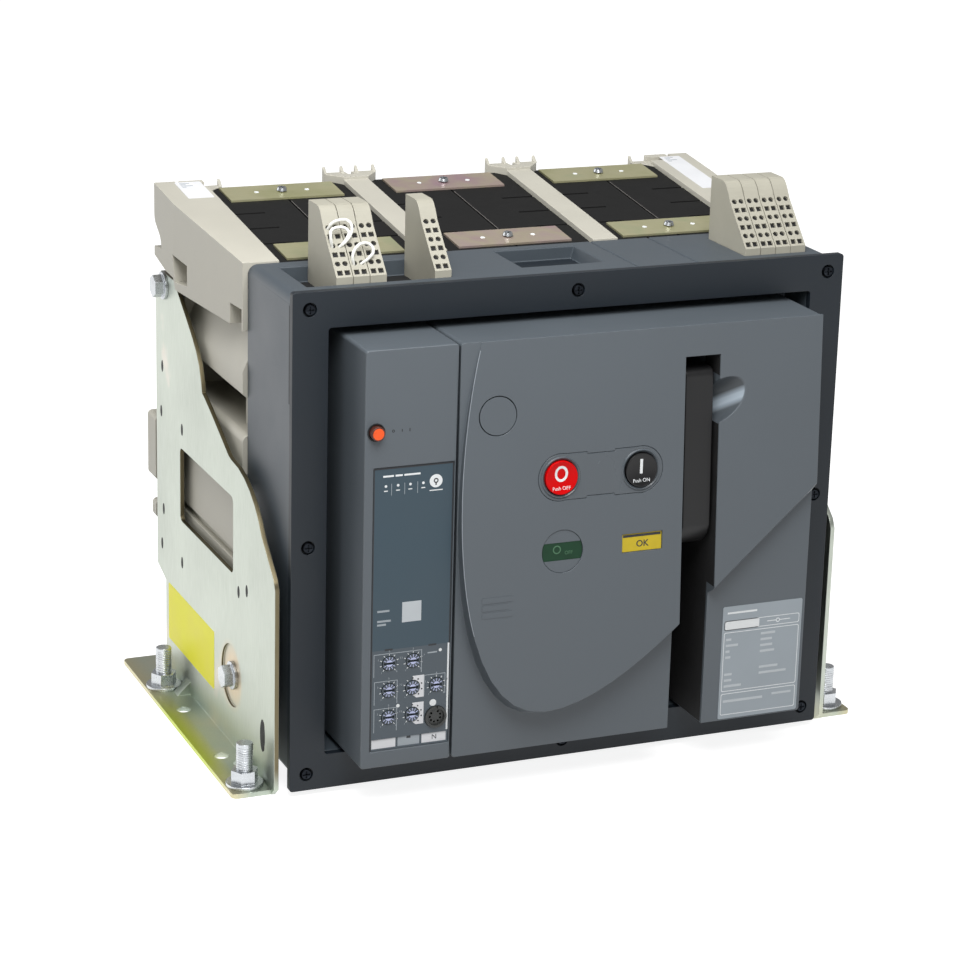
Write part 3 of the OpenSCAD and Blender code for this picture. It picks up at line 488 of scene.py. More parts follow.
# Pieces

def settle(piece, name, material, body):
    """Names a piece, gives it its finish and lets it ride on a body."""
    piece.name = name
    piece.data.name = name
    piece.data.materials.clear()
    piece.data.materials.append(material)
    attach(piece, body)
    return piece


def new_piece(name, mesh):
    piece = bpy.data.objects.new(name, mesh)
    bpy.context.scene.collection.objects.link(piece)
    return piece


def plain(piece):
    """Turns a piece's modifiers or curve into a plain mesh on a new object."""
    graph = bpy.context.evaluated_depsgraph_get()
    mesh = bpy.data.meshes.new_from_object(piece.evaluated_get(graph))
    bpy.data.objects.remove(piece)
    return new_piece("plain", mesh)


def paint(node, key):
    """Gives a CAD node a finish and leaves its shape alone."""
    data = frame["nodes"][node].data
    data.materials.clear()
    data.materials.append(finish(key))


def soften(node, key, radius=None):
    """A copy of a CAD node that stands for it, with rounded edges, which are fine if no radius is given."""
    source = frame["nodes"][node]
    work = bmesh.new()
    work.from_mesh(source.data)
    bmesh.ops.remove_doubles(work, verts=work.verts, dist=2 * MICRON)
    mesh = bpy.data.meshes.new(node)
    work.to_mesh(mesh)
    work.free()
    mesh.shade_smooth()
    piece = new_piece(node, mesh)
    rounding = piece.modifiers.new("round_edges", "BEVEL")
    rounding.width = radius or sizes().fine_edge
    rounding.segments = 2
    rounding.limit_method = "ANGLE"
    rounding.angle_limit = math.radians(34)
    rounding.use_clamp_overlap = False
    rounding.loop_slide = False
    even = piece.modifiers.new("even_shading", "WEIGHTED_NORMAL")
    even.keep_sharp = True
    piece = plain(piece)
    low, high = BOX[node]
    for vertex in piece.data.vertices:
        vertex.co = [min(max(value, least), most) for value, least, most in zip(vertex.co, low, high)]
    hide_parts(node)
    return settle(piece, node + "_rounded", finish(key), source["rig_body"])


def middle(node):
    """Middle of a CAD node's box."""
    return (BOX[node][0] + BOX[node][1]) / 2


def face(origin, across, up):
    """Placement of a flat sketch: millimetres across and up on a face, and standing out of it."""
    out = across.cross(up)
    rows = [[across[i] * MM, up[i] * MM, out[i] * MM, origin[i]] for i in range(3)]
    return Matrix(rows + [[0, 0, 0, 1]])


def front_face(y, x=0.0, z=0.0):
    return face(Vector((x, y, z)), X, Z)


def leaf_face(depth=0.0):
    """Placement on the leaning leaf panel, sunk by millimetres: u runs across and v up from the floor."""
    up = Vector((0, -PRESS.z, PRESS.y))
    top = Vector((0, COVER_Y - LEAF_STEP, BOX["front_cover"][1].z))
    return face(top - up * top.z + PRESS * depth * MM, X, up)


def leaf_centre(node):
    """Middle of a piece on the leaf panel, as u and v."""
    centre = leaf_face().inverted() @ middle(node)
    return centre.x, centre.y


def touch(node, start, direction):
    """Where a line first meets a CAD node, and the face's outward direction there."""
    data = frame["nodes"][node].data
    shape = BVHTree.FromPolygons([v.co for v in data.vertices], [p.vertices for p in data.polygons])
    where, normal, _, _ = shape.ray_cast(Vector(start), Vector(direction))
    if where is None:
        raise RuntimeError("No face of %s lies there" % node)
    return where, normal


def top_face(node, x, y):
    """Placement on the upper side of a node at a point in metres, with v running to the back."""
    where, normal = touch(node, (x, y, 1), -Z)
    return face(where, X, normal.cross(X))


def slope_face(node):
    """Placement on a terminal block's sloping front, from the foot of its left edge, with v running up."""
    low = BOX[node][0]
    foot = Vector((low.x, low.y, BOX["front_housing"][1].z + BLOCK_LIP))
    return face(foot, X, Vector((0, math.cos(BLOCK_SLOPE), math.sin(BLOCK_SLOPE))))


def block_holes(node):
    """Columns and rows of holes on a terminal block's slope, as lists of u and v."""
    modules = round((BOX[node][1].x - BOX[node][0].x) / MM / BLOCK_MODULE)
    columns = [(i + 0.5) * BLOCK_MODULE + side * BLOCK_PAIR / 2 for i in range(modules) for side in (-1, 1)]
    return columns, [(i + 0.5) * BLOCK_ROW for i in range(BLOCK_ROWS)]


def round_point(u, v, radius, angle):
    return u + radius * math.cos(angle), v + radius * math.sin(angle)


def oval(u, v, across, up, count=48):
    turns = [math.tau * i / count for i in range(count)]
    return [(u + across * math.cos(turn), v + up * math.sin(turn)) for turn in turns]


def circle(u, v, radius):
    return oval(u, v, radius, radius, 40)


def rectangle(u0, v0, u1, v1):
    return [(u0, v0), (u1, v0), (u1, v1), (u0, v1)]


def round_rectangle(u0, v0, u1, v1, radius, count=6):
    """A rectangle whose corners are arcs of as many steps as the count."""
    inner = rectangle(u0 + radius, v0 + radius, u1 - radius, v1 - radius)
    points = []
    for quarter, (u, v) in enumerate((inner[2], inner[3], inner[0], inner[1])):
        arc = [math.pi / 2 * (quarter + i / count) for i in range(count + 1)]
        points += [round_point(u, v, radius, angle) for angle in arc]
    return points


class Sketch:
    """Flat raised shapes in millimetres: u runs across, v runs up, and they stand out of the face."""

    def __init__(self, height=None):
        """Starts a sketch that stands out by metres, or as far as print if no height is given."""
        self.mesh = bmesh.new()
        self.height = (height or sizes().print_height) / MM

    def fill(self, outline):
        """A raised plate with that outline, given anticlockwise."""
        bottom, top = ([self.mesh.verts.new((u, v, w)) for u, v in outline] for w in (0.0, self.height))
        self.mesh.faces.new(top)
        self.mesh.faces.new(bottom[::-1])
        for i in range(len(outline)):
            j = (i + 1) % len(outline)
            self.mesh.faces.new((bottom[i], bottom[j], top[j], top[i]))

    def band(self, outline, hole):
        """A raised band between an outline and a hole of as many points."""
        levels = [[self.mesh.verts.new((u, v, w)) for u, v in loop]
                  for loop in (outline, hole) for w in (0.0, self.height)]
        outer_low, outer_top, hole_low, hole_top = levels
        for i in range(len(outline)):
            j = (i + 1) % len(outline)
            self.mesh.faces.new((outer_top[i], outer_top[j], hole_top[j], hole_top[i]))
            self.mesh.faces.new((outer_low[j], outer_low[i], hole_low[i], hole_low[j]))
            self.mesh.faces.new((outer_low[i], outer_low[j], outer_top[j], outer_top[i]))
            self.mesh.faces.new((hole_low[j], hole_low[i], hole_top[i], hole_top[j]))

    def bar(self, u0, v0, u1, v1):
        self.fill(rectangle(u0, v0, u1, v1))

    def disc(self, u, v, radius):
        self.fill(circle(u, v, radius))

    def ring(self, u, v, outer, inner):
        self.band(circle(u, v, outer), circle(u, v, inner))

    def round_box(self, u0, v0, u1, v1, radius, width):
        self.band(round_rectangle(u0, v0, u1, v1, radius),
                  round_rectangle(u0 + width, v0 + width, u1 - width, v1 - width, radius - width / 2))

    def ray(self, u, v, angle, inner, outer, width):
        """A short line that points away from a centre."""
        c, s = math.cos(angle), math.sin(angle)
        corners = rectangle(inner, -width / 2, outer, width / 2)
        self.fill([(u + a * c - b * s, v + a * s + b * c) for a, b in corners])

    def lathe(self, u, v, profile, count=48):
        """A ring turned from a closed profile of radius and height, given anticlockwise."""
        loops = []
        for i in range(count):
            turn = math.tau * i / count
            points = [(*round_point(u, v, radius, turn), w) for radius, w in profile]
            loops.append([self.mesh.verts.new(point) for point in points])
        for i in range(count):
            here, there = loops[i], loops[(i + 1) % count]
            for j in range(len(profile)):
                k = (j + 1) % len(profile)
                self.mesh.faces.new((here[j], there[j], there[k], here[k]))

    def word(self, text, size, u, v, bold=0.0):
        """Letters or numbers, centred and made bolder by a width."""
        letters = bpy.data.curves.new("letters", "FONT")
        letters.body = text
        letters.size = size
        letters.align_x = letters.align_y = "CENTER"
        letters.extrude = self.height / 2
        letters.offset = bold
        letters.resolution_u = 4
        piece = plain(new_piece("letters", letters))
        piece.data.transform(Matrix.Translation((u, v, self.height / 2)))
        self.mesh.from_mesh(piece.data)
        bpy.data.objects.remove(piece)

    def piece(self, name, place, key, body=ROOT, slot=None, sink=None):
        """Makes the sketch a piece on its face. A sink gives the depth of a hollow face at a point."""
        if sink:
            for vertex in self.mesh.verts:
                vertex.co.z -= sink(vertex.co.x, vertex.co.y)
        self.mesh.transform(place)
        mesh = bpy.data.meshes.new(name)
        self.mesh.to_mesh(mesh)
        self.mesh.free()
        return settle(new_piece(name, mesh), name, finish(key), body)


# Geometry Nodes for what repeats

def tree(name, *inputs):
    """A geometry tree with named inputs, a turn and a material: its builder, input node and group."""
    group = bpy.data.node_groups.new(name, "GeometryNodeTree")
    group.interface.new_socket("Geometry", in_out="INPUT", socket_type="NodeSocketGeometry")
    for label, kind, default in (*inputs, ("Turn", "Vector", (0, 0, 0))):
        socket = group.interface.new_socket(label, in_out="INPUT", socket_type="NodeSocket" + kind)
        socket.default_value = default
    group.interface.new_socket("Material", in_out="INPUT", socket_type="NodeSocketMaterial")
    group.interface.new_socket("Geometry", in_out="OUTPUT", socket_type="NodeSocketGeometry")
    build = NodeBuilder(group)
    return build, build.add("NodeGroupInput").outputs, group


def scatter(build, given, shape):
    """Puts the shape on each point with the tree's turn, and ends the tree."""
    turn = build.add("FunctionNodeEulerToRotation", {"Euler": given["Turn"]}).outputs["Rotation"]
    placed = build.add("GeometryNodeInstanceOnPoints", {"Points": given["Geometry"], "Instance": shape,
                                                        "Rotation": turn})
    real = build.add("GeometryNodeRealizeInstances", {"Geometry": placed.outputs["Instances"]})
    coloured = build.add("GeometryNodeSetMaterial", {"Geometry": real.outputs["Geometry"],
                                                     "Material": given["Material"]})
    build.add("NodeGroupOutput", {"Geometry": coloured.outputs["Geometry"]})


def screw_tree():
    """Domed screw heads with a cross recess, whose arms are shares of the head's radius."""
    arm_length, arm_width = 1.3, 0.26
    build, given, group = tree("cross_head_screws", ("Head Radius", "Float", 0.0035),
                               ("Head Height", "Float", 0.002))
    radius, height = given["Head Radius"], given["Head Height"]
    dome = build.add("GeometryNodeMeshCone", {"Vertices": 28, "Side Segments": 1, "Depth": height,
                                              "Radius Top": build.times(radius, 0.8),
                                              "Radius Bottom": radius})
    head = build.add("GeometryNodeMeshBoolean", {"Mesh 1": dome.outputs["Mesh"]}, operation="DIFFERENCE")
    lift = build.add("ShaderNodeCombineXYZ", {"Z": height}).outputs["Vector"]
    for across, up in ((arm_length, arm_width), (arm_width, arm_length)):
        size = build.add("ShaderNodeCombineXYZ", {"X": build.times(radius, across),
                                                  "Y": build.times(radius, up), "Z": height})
        arm = build.add("GeometryNodeMeshCube", {"Size": size.outputs["Vector"]})
        cut = build.add("GeometryNodeTransform", {"Geometry": arm.outputs["Mesh"], "Translation": lift})
        build.feed(head.inputs["Mesh 2"], cut.outputs["Geometry"])
    scatter(build, given, head.outputs["Mesh"])
    return group


def peg_tree():
    """Short round pegs: dark pegs of painted shadow down in holes, and plain pins."""
    build, given, group = tree("pegs", ("Radius", "Float", 0.001), ("Height", "Float", 0.001))
    peg = build.add("GeometryNodeMeshCylinder", {"Vertices": 24, "Radius": given["Radius"],
                                                 "Depth": given["Height"]})
    scatter(build, given, peg.outputs["Mesh"])
    return group


def thread_tree():
    """Screw threads: a ridge wound round each stud."""
    build, given, group = tree("threads", ("Radius", "Float", 0.005), ("Length", "Float", 0.02),
                               ("Pitch", "Float", 0.0015))
    radius, length, pitch = given["Radius"], given["Length"], given["Pitch"]
    turns = build.compute("DIVIDE", length, pitch)
    helix = build.add("GeometryNodeCurveSpiral", {"Resolution": 28, "Rotations": turns, "Height": length,
                                                  "Start Radius": radius, "End Radius": radius})
    ridge = build.add("GeometryNodeCurvePrimitiveCircle", {"Resolution": 4,
                                                           "Radius": build.times(pitch, 0.36)})
    wound = build.add("GeometryNodeCurveToMesh", {"Curve": helix.outputs["Curve"],
                                                  "Profile Curve": ridge.outputs["Curve"], "Fill Caps": True})
    scatter(build, given, wound.outputs["Mesh"])
    return group


TREES = {}


def grow(name, maker, points, values, key):
    """Makes a piece by putting a tree's shape on points given in metres."""
    if maker not in TREES:
        TREES[maker] = maker()
    group = TREES[maker]
    mesh = bpy.data.meshes.new(name)
    mesh.from_pydata([tuple(point) for point in points], [], [])
    piece = new_piece(name, mesh)
    modifier = piece.modifiers.new(name, "NODES")
    modifier.node_group = group
    values = {**values, "Material": finish(key)}
    for item in group.interface.items_tree:
        if item.item_type == "SOCKET" and item.in_out == "INPUT" and item.name in values:
            modifier[item.identifier] = values[item.name]
    return settle(plain(piece), name, finish(key), ROOT)


def wire(points, radius):
    """A round wire through points given in metres."""
    curve = bpy.data.curves.new("wire", "CURVE")
    curve.dimensions = "3D"
    curve.bevel_depth = radius
    curve.bevel_resolution = 3
    curve.use_fill_caps = True
    spline = curve.splines.new("BEZIER")
    spline.bezier_points.add(len(points) - 1)
    for knot, point in zip(spline.bezier_points, points):
        knot.co = point
        knot.handle_left_type = knot.handle_right_type = "AUTO"
    return plain(new_piece("wire", curve))


def joined(pieces):
    """One mesh out of several pieces."""
    work = bmesh.new()
    for piece in pieces:
        work.from_mesh(piece.data)
        bpy.data.objects.remove(piece)
    mesh = bpy.data.meshes.new("joined")
    work.to_mesh(mesh)
    work.free()
    mesh.shade_smooth()
    return new_piece("joined", mesh)


# Operators

class BREAKER_OT_stage(bpy.types.Operator):
    """Sets up the pale floor, the soft studio light and the camera"""
    bl_idname = "breaker.stage"
    bl_label = "Stage"

    def execute(self, context):
        self.floor(context.scene)
        self.light(context.scene)
        self.camera(context.scene)
        return {"FINISHED"}

    def floor(self, scene):
        half = 9.0
        mesh = bpy.data.meshes.new("floor")
        mesh.from_pydata([(u, v, 0) for u, v in rectangle(-half, -half, half, half)], [], [(0, 1, 2, 3)])
        floor = new_piece("floor", mesh)
        paper = moulded("white_sweep", (0.5, 0.5, 0.5), 0.8, 0.01, 500, 2, 20)
        glow = paper.node_tree.nodes["Principled BSDF"].inputs
        glow["Emission Color"].default_value = (1, 1, 1, 1)
        glow["Emission Strength"].default_value = scene.breaker_view.floor
        mesh.materials.append(paper)
        floor.visible_diffuse = False

    def light(self, scene):
        view = scene.breaker_view
        world = bpy.data.worlds.new("studio")
        world.use_nodes = True
        background = world.node_tree.nodes["Background"].inputs
        background["Color"].default_value = (1, 1, 1, 1)
        background["Strength"].default_value = view.ambient
        scene.world = world
        scene.view_settings.view_transform = "Standard"
        target = Vector((0, 0, 0.17))
        for name, power, size, place in (("overhead", view.key, 2.0, (-0.4, -0.5, 2.2)),
                                         ("left_side", view.side, 1.4, (-1.5, 1.25, 0.7)),
                                         ("front_top", view.front, 0.5, (-0.2, -0.55, 0.84))):
            lamp = bpy.data.lights.new(name, "AREA")
            lamp.energy = power
            lamp.size = size
            holder = bpy.data.objects.new(name, lamp)
            holder.visible_camera = False
            holder.location = place
            holder.rotation_euler = (target - Vector(place)).to_track_quat("-Z", "Y").to_euler()
            scene.collection.objects.link(holder)

    def camera(self, scene):
        view = scene.breaker_view
        ahead = Vector((math.sin(view.yaw) * math.cos(view.pitch), math.cos(view.yaw) * math.cos(view.pitch),
                        -math.sin(view.pitch)))
        right = Vector((math.cos(view.yaw), -math.sin(view.yaw), 0))
        up = right.cross(ahead)
        tilted_right = right * math.cos(view.roll) + up * math.sin(view.roll)
        tilted_up = up * math.cos(view.roll) - right * math.sin(view.roll)
        data = bpy.data.cameras.new("photo_view")
        data.sensor_width = 36
        data.lens = view.focal / view.picture * data.sensor_width
        data.shift_x = (view.picture / 2 - view.centre[0]) / view.picture
        data.shift_y = (view.centre[1] - view.picture / 2) / view.picture
        data.clip_end = 50
        camera = bpy.data.objects.new("photo_view", data)
        columns = Matrix((tilted_right, tilted_up, -ahead)).transposed()
        camera.matrix_world = Matrix.Translation(Vector(view.place) + Y * DOOR_Y) @ columns.to_4x4()
        scene.collection.objects.link(camera)
        scene.camera = camera


class BREAKER_OT_case(bpy.types.Operator):
    """Finishes the beige rear case and upper case and puts blank labels on the upper walls"""
    bl_idname = "breaker.case"
    bl_label = "Case"

    def execute(self, context):
        soften("rear_case", "case")
        soften("upper_case", "case")
        self.wall_label("left_wall_label", x=-168, from_back=19, width=17, length=32)
        self.wall_label("right_wall_label", x=173, from_back=40, width=15, length=68)
        return {"FINISHED"}

    def wall_label(self, name, x, from_back, width, length):
        """A label with four short rules on top of a wall."""
        place = top_face("upper_case", x * MM, BOX["upper_case"][1].y - from_back * MM)
        label = Sketch(sizes().label_height)
        label.fill(round_rectangle(-width / 2, -length / 2, width / 2, length / 2, 1))
        label.piece(name, place, "paper", slot="dial_white")
        rules = Sketch(sizes().label_height + sizes().print_height)
        left, pitch, thick = -width / 2, 2.4, 1
        for i, end in enumerate((9, 6, 10, 5)):
            top = length / 2 - pitch * (i + 1)
            rules.bar(left + 2.5, top - thick, left + end, top)
        rules.piece(name + "_rules", place, "pale", slot="slate_cover")


class BREAKER_OT_arc_chutes(bpy.types.Operator):
    """Finishes the arc chutes and their clamp strips and adds the strips' screws"""
    bl_idname = "breaker.arc_chutes"
    bl_label = "Arc chutes"

    def execute(self, context):
        half_strip, pin_reach, screw_lift, pin_sink = 0.013, 0.017, 0.0008, 0.0004
        seam_inset, seam_radius, off_centre = 0.03, 0.00022, 0.0008
        paint("arc_chute_clamps", "clamp")
        low, high = BOX["arc_chute_clamps"]
        pins, screws, seams = [], [], []
        for node in CHUTES:
            paint(node, "chute")
            x = middle(node).x
            for y in (low.y + half_strip, high.y - half_strip):
                where, normal = touch("arc_chute_clamps", (x, y, 1), -Z)
                screws.append(where + normal * screw_lift)
                pins += [where + X * side * pin_reach - normal * pin_sink for side in (-1, 1)]
            ends = [touch(node, (x + off_centre, y, 1), -Z)[0]
                    for y in (low.y + seam_inset, high.y - seam_inset)]
            seams.append(wire(ends, seam_radius))
        settle(joined(seams), "chute_seams", finish("seam"), ROOT)
        tilt = normal.to_track_quat("Z", "Y").to_euler()
        grow("clamp_screws", screw_tree, screws,
             {"Head Radius": sizes().clamp_screw, "Head Height": 0.0018, "Turn": tilt}, "bright")
        grow("clamp_pins", peg_tree, pins, {"Radius": 0.0015, "Height": 0.0012, "Turn": tilt}, "white")
        return {"FINISHED"}


class BREAKER_OT_housing(bpy.types.Operator):
    """Finishes the front housing and the door frame and adds the frame's cross-head screws"""
    bl_idname = "breaker.housing"
    bl_label = "Housing"

    def execute(self, context):
        soften("front_housing", "housing", sizes().edge)
        soften("door_frame", "frame")
        self.well_floors()
        self.side_grooves()
        self.frame_screws()
        return {"FINISHED"}

    def well_floors(self):
        """Painted shadow: dark floors in the open parts of the well round the left terminal blocks, and a
        near-black floor in the pocket.
        """
        first, second = BOX["terminal_block_left"], BOX["terminal_block_middle"]
        left, right, gap, well = first[0].x / MM, first[1].x / MM, 0.1, 17.8
        depth = (first[1].y - first[0].y) / MM
        self.lay_floor("well_floors", left - well / 2,
                       ((left - well, 0, left - gap, depth), (right + gap, 0, second[0].x / MM - gap, depth)),
                       "shadow", "black_plastic")
        self.lay_floor("pocket_floor", 5, ((-19.6, 10.4, 29.6, depth + 3.6),), "frame", "dark_housing")

    def lay_floor(self, name, x, bars, key, slot):
        """Thin dark bars of painted shadow as high as the housing is at x, with v from the front of the
        terminal blocks.
        """
        where, _ = touch("front_housing", (x * MM, middle("terminal_block_left").y, 1), -Z)
        floor = Sketch(LINING)
        for bar in bars:
            floor.bar(*bar)
        floor.piece(name, face(Vector((0, BOX["terminal_block_left"][0].y, where.z)), X, Y), key, slot=slot)

    def side_grooves(self):
        """Dark strips of painted shadow over the narrow grooves down both sides of the housing, close behind
        the door frame.
        """
        low, high = BOX["front_housing"]
        behind, top = (BOX["door_frame"][1].y - DOOR_Y) / MM, high.z / MM
        for name, x, side in (("left_groove", low.x, -1), ("right_groove", high.x, 1)):
            groove = Sketch()
            near, far = side * (behind + 3), side * (behind + 5)
            groove.bar(min(near, far), top - 65, max(near, far), top - 7)
            groove.piece(name, face(Vector((x, DOOR_Y, 0)), Y * side, Z), "shadow", slot="black_plastic")

    def frame_screws(self):
        """Screws in the door frame's corners and halfway along its sides."""
        inset, lift = 0.0105, 0.0011
        low, high = BOX["door_frame"]
        centre = middle("door_frame").z
        across, up = high.x - inset, high.z - centre - inset
        points = [(i * across, low.y + lift, centre + j * up)
                  for i in (-1, 0, 1) for j in (-1, 0, 1) if i or j]
        grow("frame_screws", screw_tree, points,
             {"Head Radius": sizes().frame_screw, "Head Height": 0.0016, "Turn": FACING_FRONT}, "dark_steel")


class BREAKER_OT_cover(bpy.types.Operator):
    """Finishes the cover with its leaf panel and adds the rating plate"""
    bl_idname = "breaker.cover"
    bl_label = "Cover"

    def execute(self, context):
        soften("front_cover", "cover")
        soften("trip_unit_cover", "cover", sizes().edge)
        paint("lock_blank", "cover")
        self.rating_plate()
        self.slot_lining()
        self.leaf_edge()
        self.embossed_rules()
        return {"FINISHED"}

    def rating_plate(self):
        """A plate with blank boxes and short rules."""
        place = front_face(COVER_Y, 89.5 * MM, 29.5 * MM)
        width, height, corner = 55, 74, 1.2
        plate = Sketch(sizes().label_height)
        plate.fill(round_rectangle(0, 0, width, height, corner))
        plate.piece("rating_plate", place, "rating", slot="slate_cover")
        marks = Sketch(sizes().label_height + sizes().print_height)
        marks.bar(3.2, 69, 23.5, 70.2)
        left, right, line = 1.4, 53.4, 0.4
        marks.fill(round_rectangle(left, 58.4, 25.5, 64.6, corner))
        for low, high in ((58.4, 64.6), (18, 57), (2.4, 16.6)):
            marks.round_box(left, low, right, high, corner, line)
        marks.bar(31, 61.3, 37, 61.8)
        marks.ring(38.4, 61.5, 1.4, 0.9)
        marks.bar(39.8, 61.3, 47, 61.8)
        marks.piece("rating_plate_marks", place, "white", slot="dial_white")
        rules = Sketch(sizes().label_height + sizes().print_height)
        thick, pitch = 1.5, 3.9
        for u, v, lengths in ((3, 53, (3.6, 8.4, 2.8, 3.6)), (27, 54.6, (10, 8, 8.4, 10)),
                              (3, 30, (5.2, 5.2, 12)), (27, 32.4, (13, 19))):
            for i, length in enumerate(lengths):
                rules.bar(u, v - pitch * i - thick, u + length, v - pitch * i)
        rules.bar(3, 10.6, 30.5, 12.2)
        rules.bar(37, 12, 50.5, 13.4)
        rules.piece("rating_plate_rules", place, "faint_white", slot="dial_white")

    def slot_lining(self):
        """Dark lining of painted shadow in the handle's slot: the floor below the handle's pin, and the sides
        up past it.
        """
        x, low_in_slot = middle("charging_handle").x, 0.06
        foot, below_pin, leaf_foot = BOX["front_cover"][0].z / MM + 0.5, 147, 121
        front, before_pin, half_width = -33, -17, 10.5
        floor = touch("front_cover", (x, -1, low_in_slot), Y)[0].y
        deep = (floor - DOOR_Y) / MM - 0.2
        slot_top = touch("front_cover", (x, DOOR_Y - 0.02, 0.2), Z)[0].z / MM - 0.2
        leaf = leaf_face()

        def edge(v):
            """Depth just behind the leaf panel at a height, counted from the door frame."""
            return ((leaf @ Vector((0, v, 0))).y - DOOR_Y) / MM + 0.8

        for name, side, end in (("slot_lining_left", -1, slot_top),
                                ("slot_lining_right", 1, SCOOP_FOOT / MM)):
            wall = touch("front_cover", (x, DOOR_Y, low_in_slot), X * side)[0].x
            lining = Sketch(LINING)
            outline = [(front, foot), (deep, foot), (deep, below_pin), (before_pin, below_pin),
                       (before_pin, end), (edge(end), end), (edge(leaf_foot), leaf_foot), (front, leaf_foot)]
            turned = [(-side * u, v) for u, v in outline]
            lining.fill(turned if side < 0 else turned[::-1])
            if side > 0:
                above_scoop = SCOOP_TOP / MM
                lining.fill([(-before_pin, above_scoop), (-before_pin, slot_top),
                             (-edge(slot_top), slot_top), (-edge(above_scoop), above_scoop)])
            lining.piece(name, face(Vector((wall, DOOR_Y, 0)), Y * -side, Z), "shadow", slot="black_plastic")
        back = Sketch(LINING)
        back.bar(-half_width, foot, half_width, below_pin)
        back.piece("slot_lining_back", front_face(floor, x), "shadow", slot="black_plastic")

    def leaf_edge(self):
        """A thin bead along the long left edge of the leaf panel, which is a Bezier curve; its pale colour is
        a painted highlight.
        """
        place, top, inside = leaf_face(), BOX["front_cover"][1].z / MM, Vector((0.25, 0, 0))
        knots = [Vector((u, v, 0)) for u, v in ((-76, top), (-97, 200), (-95, 55), (-33, 55))]
        steps, shown = 52, 33
        points = []
        for i in range(1, shown):
            t = i / steps
            weights = ((1 - t) ** 3, 3 * t * (1 - t) ** 2, 3 * t * t * (1 - t), t ** 3)
            points.append(place @ sum((knot * weight for knot, weight in zip(knots, weights)), inside))
        settle(wire(points, 0.00025), "leaf_edge", finish("worn_edge"), ROOT)

    def embossed_rules(self):
        """Three raised rules on the leaf panel."""
        left, low, high, pitch = -75, 127, 130.4, 4.6
        emboss = Sketch(0.00025)
        for i, length in enumerate((20, 17, 20)):
            emboss.fill(round_rectangle(left, low - pitch * i, left + length, high - pitch * i, 0.8))
        emboss.piece("embossed_rules", leaf_face(), "cover", slot="slate_cover")


class BREAKER_OT_controls(bpy.types.Operator):
    """Finishes the push-buttons, the indicator windows and the charging handle and adds their marks"""
    bl_idname = "breaker.controls"
    bl_label = "Controls"

    def execute(self, context):
        soften("button_bezel", "bezel")
        soften("off_button", "red")
        soften("on_button", "black_gloss")
        soften("charging_handle", "black", sizes().edge)
        self.button("off_button", "O", "Push OFF")
        self.button("on_button", "I", "Push ON")
        self.contact_window()
        self.spring_window()
        return {"FINISHED"}

    def button(self, node, sign, words):
        """White marks that follow a button's hollow face, and a sloped rim round it."""
        u, v = leaf_centre(node)
        out, hollow, radius = 1.5, 1.2, 40
        marks = Sketch()
        if sign == "O":
            marks.band(oval(u, v + 2.3, 4.2, 4.9), oval(u, v + 2.3, 2.7, 3.3))
        else:
            marks.bar(u - 0.9, v - 2.4, u + 0.9, v + 6.6)
        marks.word(words, 3, u, v - 6.5)
        marks.piece(node + "_marks", leaf_face(-out), "white", node, "dial_white",
                    lambda a, b: hollow - ((a - u) ** 2 + (b - v) ** 2) / (2 * radius))
        rim = Sketch()
        rim.lathe(u, v, [(10.85, 0.02), (12.7, 0.02), (12.2, 0.7), (11.9, 0.75)])
        rim.piece(node + "_rim", leaf_face(), "bezel", slot="slate_cover")

    def contact_window(self):
        """A slate disc with a green band and faint marks on it."""
        paint("contact_indicator", "cover")
        u, v = leaf_centre("contact_indicator")
        radius, half, sunk, height = 12.9, 5.4, 1.5, 0.0008
        reach = math.asin(half / radius)
        band = Sketch(height)
        band.fill([round_point(u, v, radius, start + reach * i / 6)
                   for start in (0, math.pi) for i in range(-6, 7)])
        band.piece("contact_band", leaf_face(sunk), "green", slot="green_window")
        marks = Sketch(height + 0.00005)
        marks.ring(u - 3.4, v + 1.2, 2.6, 1.9)
        marks.word("OFF", 3, u + 4.2, v - 1.2)
        marks.piece("contact_marks", leaf_face(sunk), "mint", slot="green_window")

    def spring_window(self):
        """A yellow window with a dark strip along its top and a ready mark."""
        paint("spring_indicator", "yellow")
        u, v = leaf_centre("spring_indicator")
        marks = Sketch()
        marks.bar(u - 12.4, v + 3.4, u + 12.4, v + 4.9)
        marks.word("OK", 5.6, u + 0.4, v - 1.2, 0.08)
        marks.piece("ready_marks", leaf_face(1.0), "ink", slot="black_plastic")


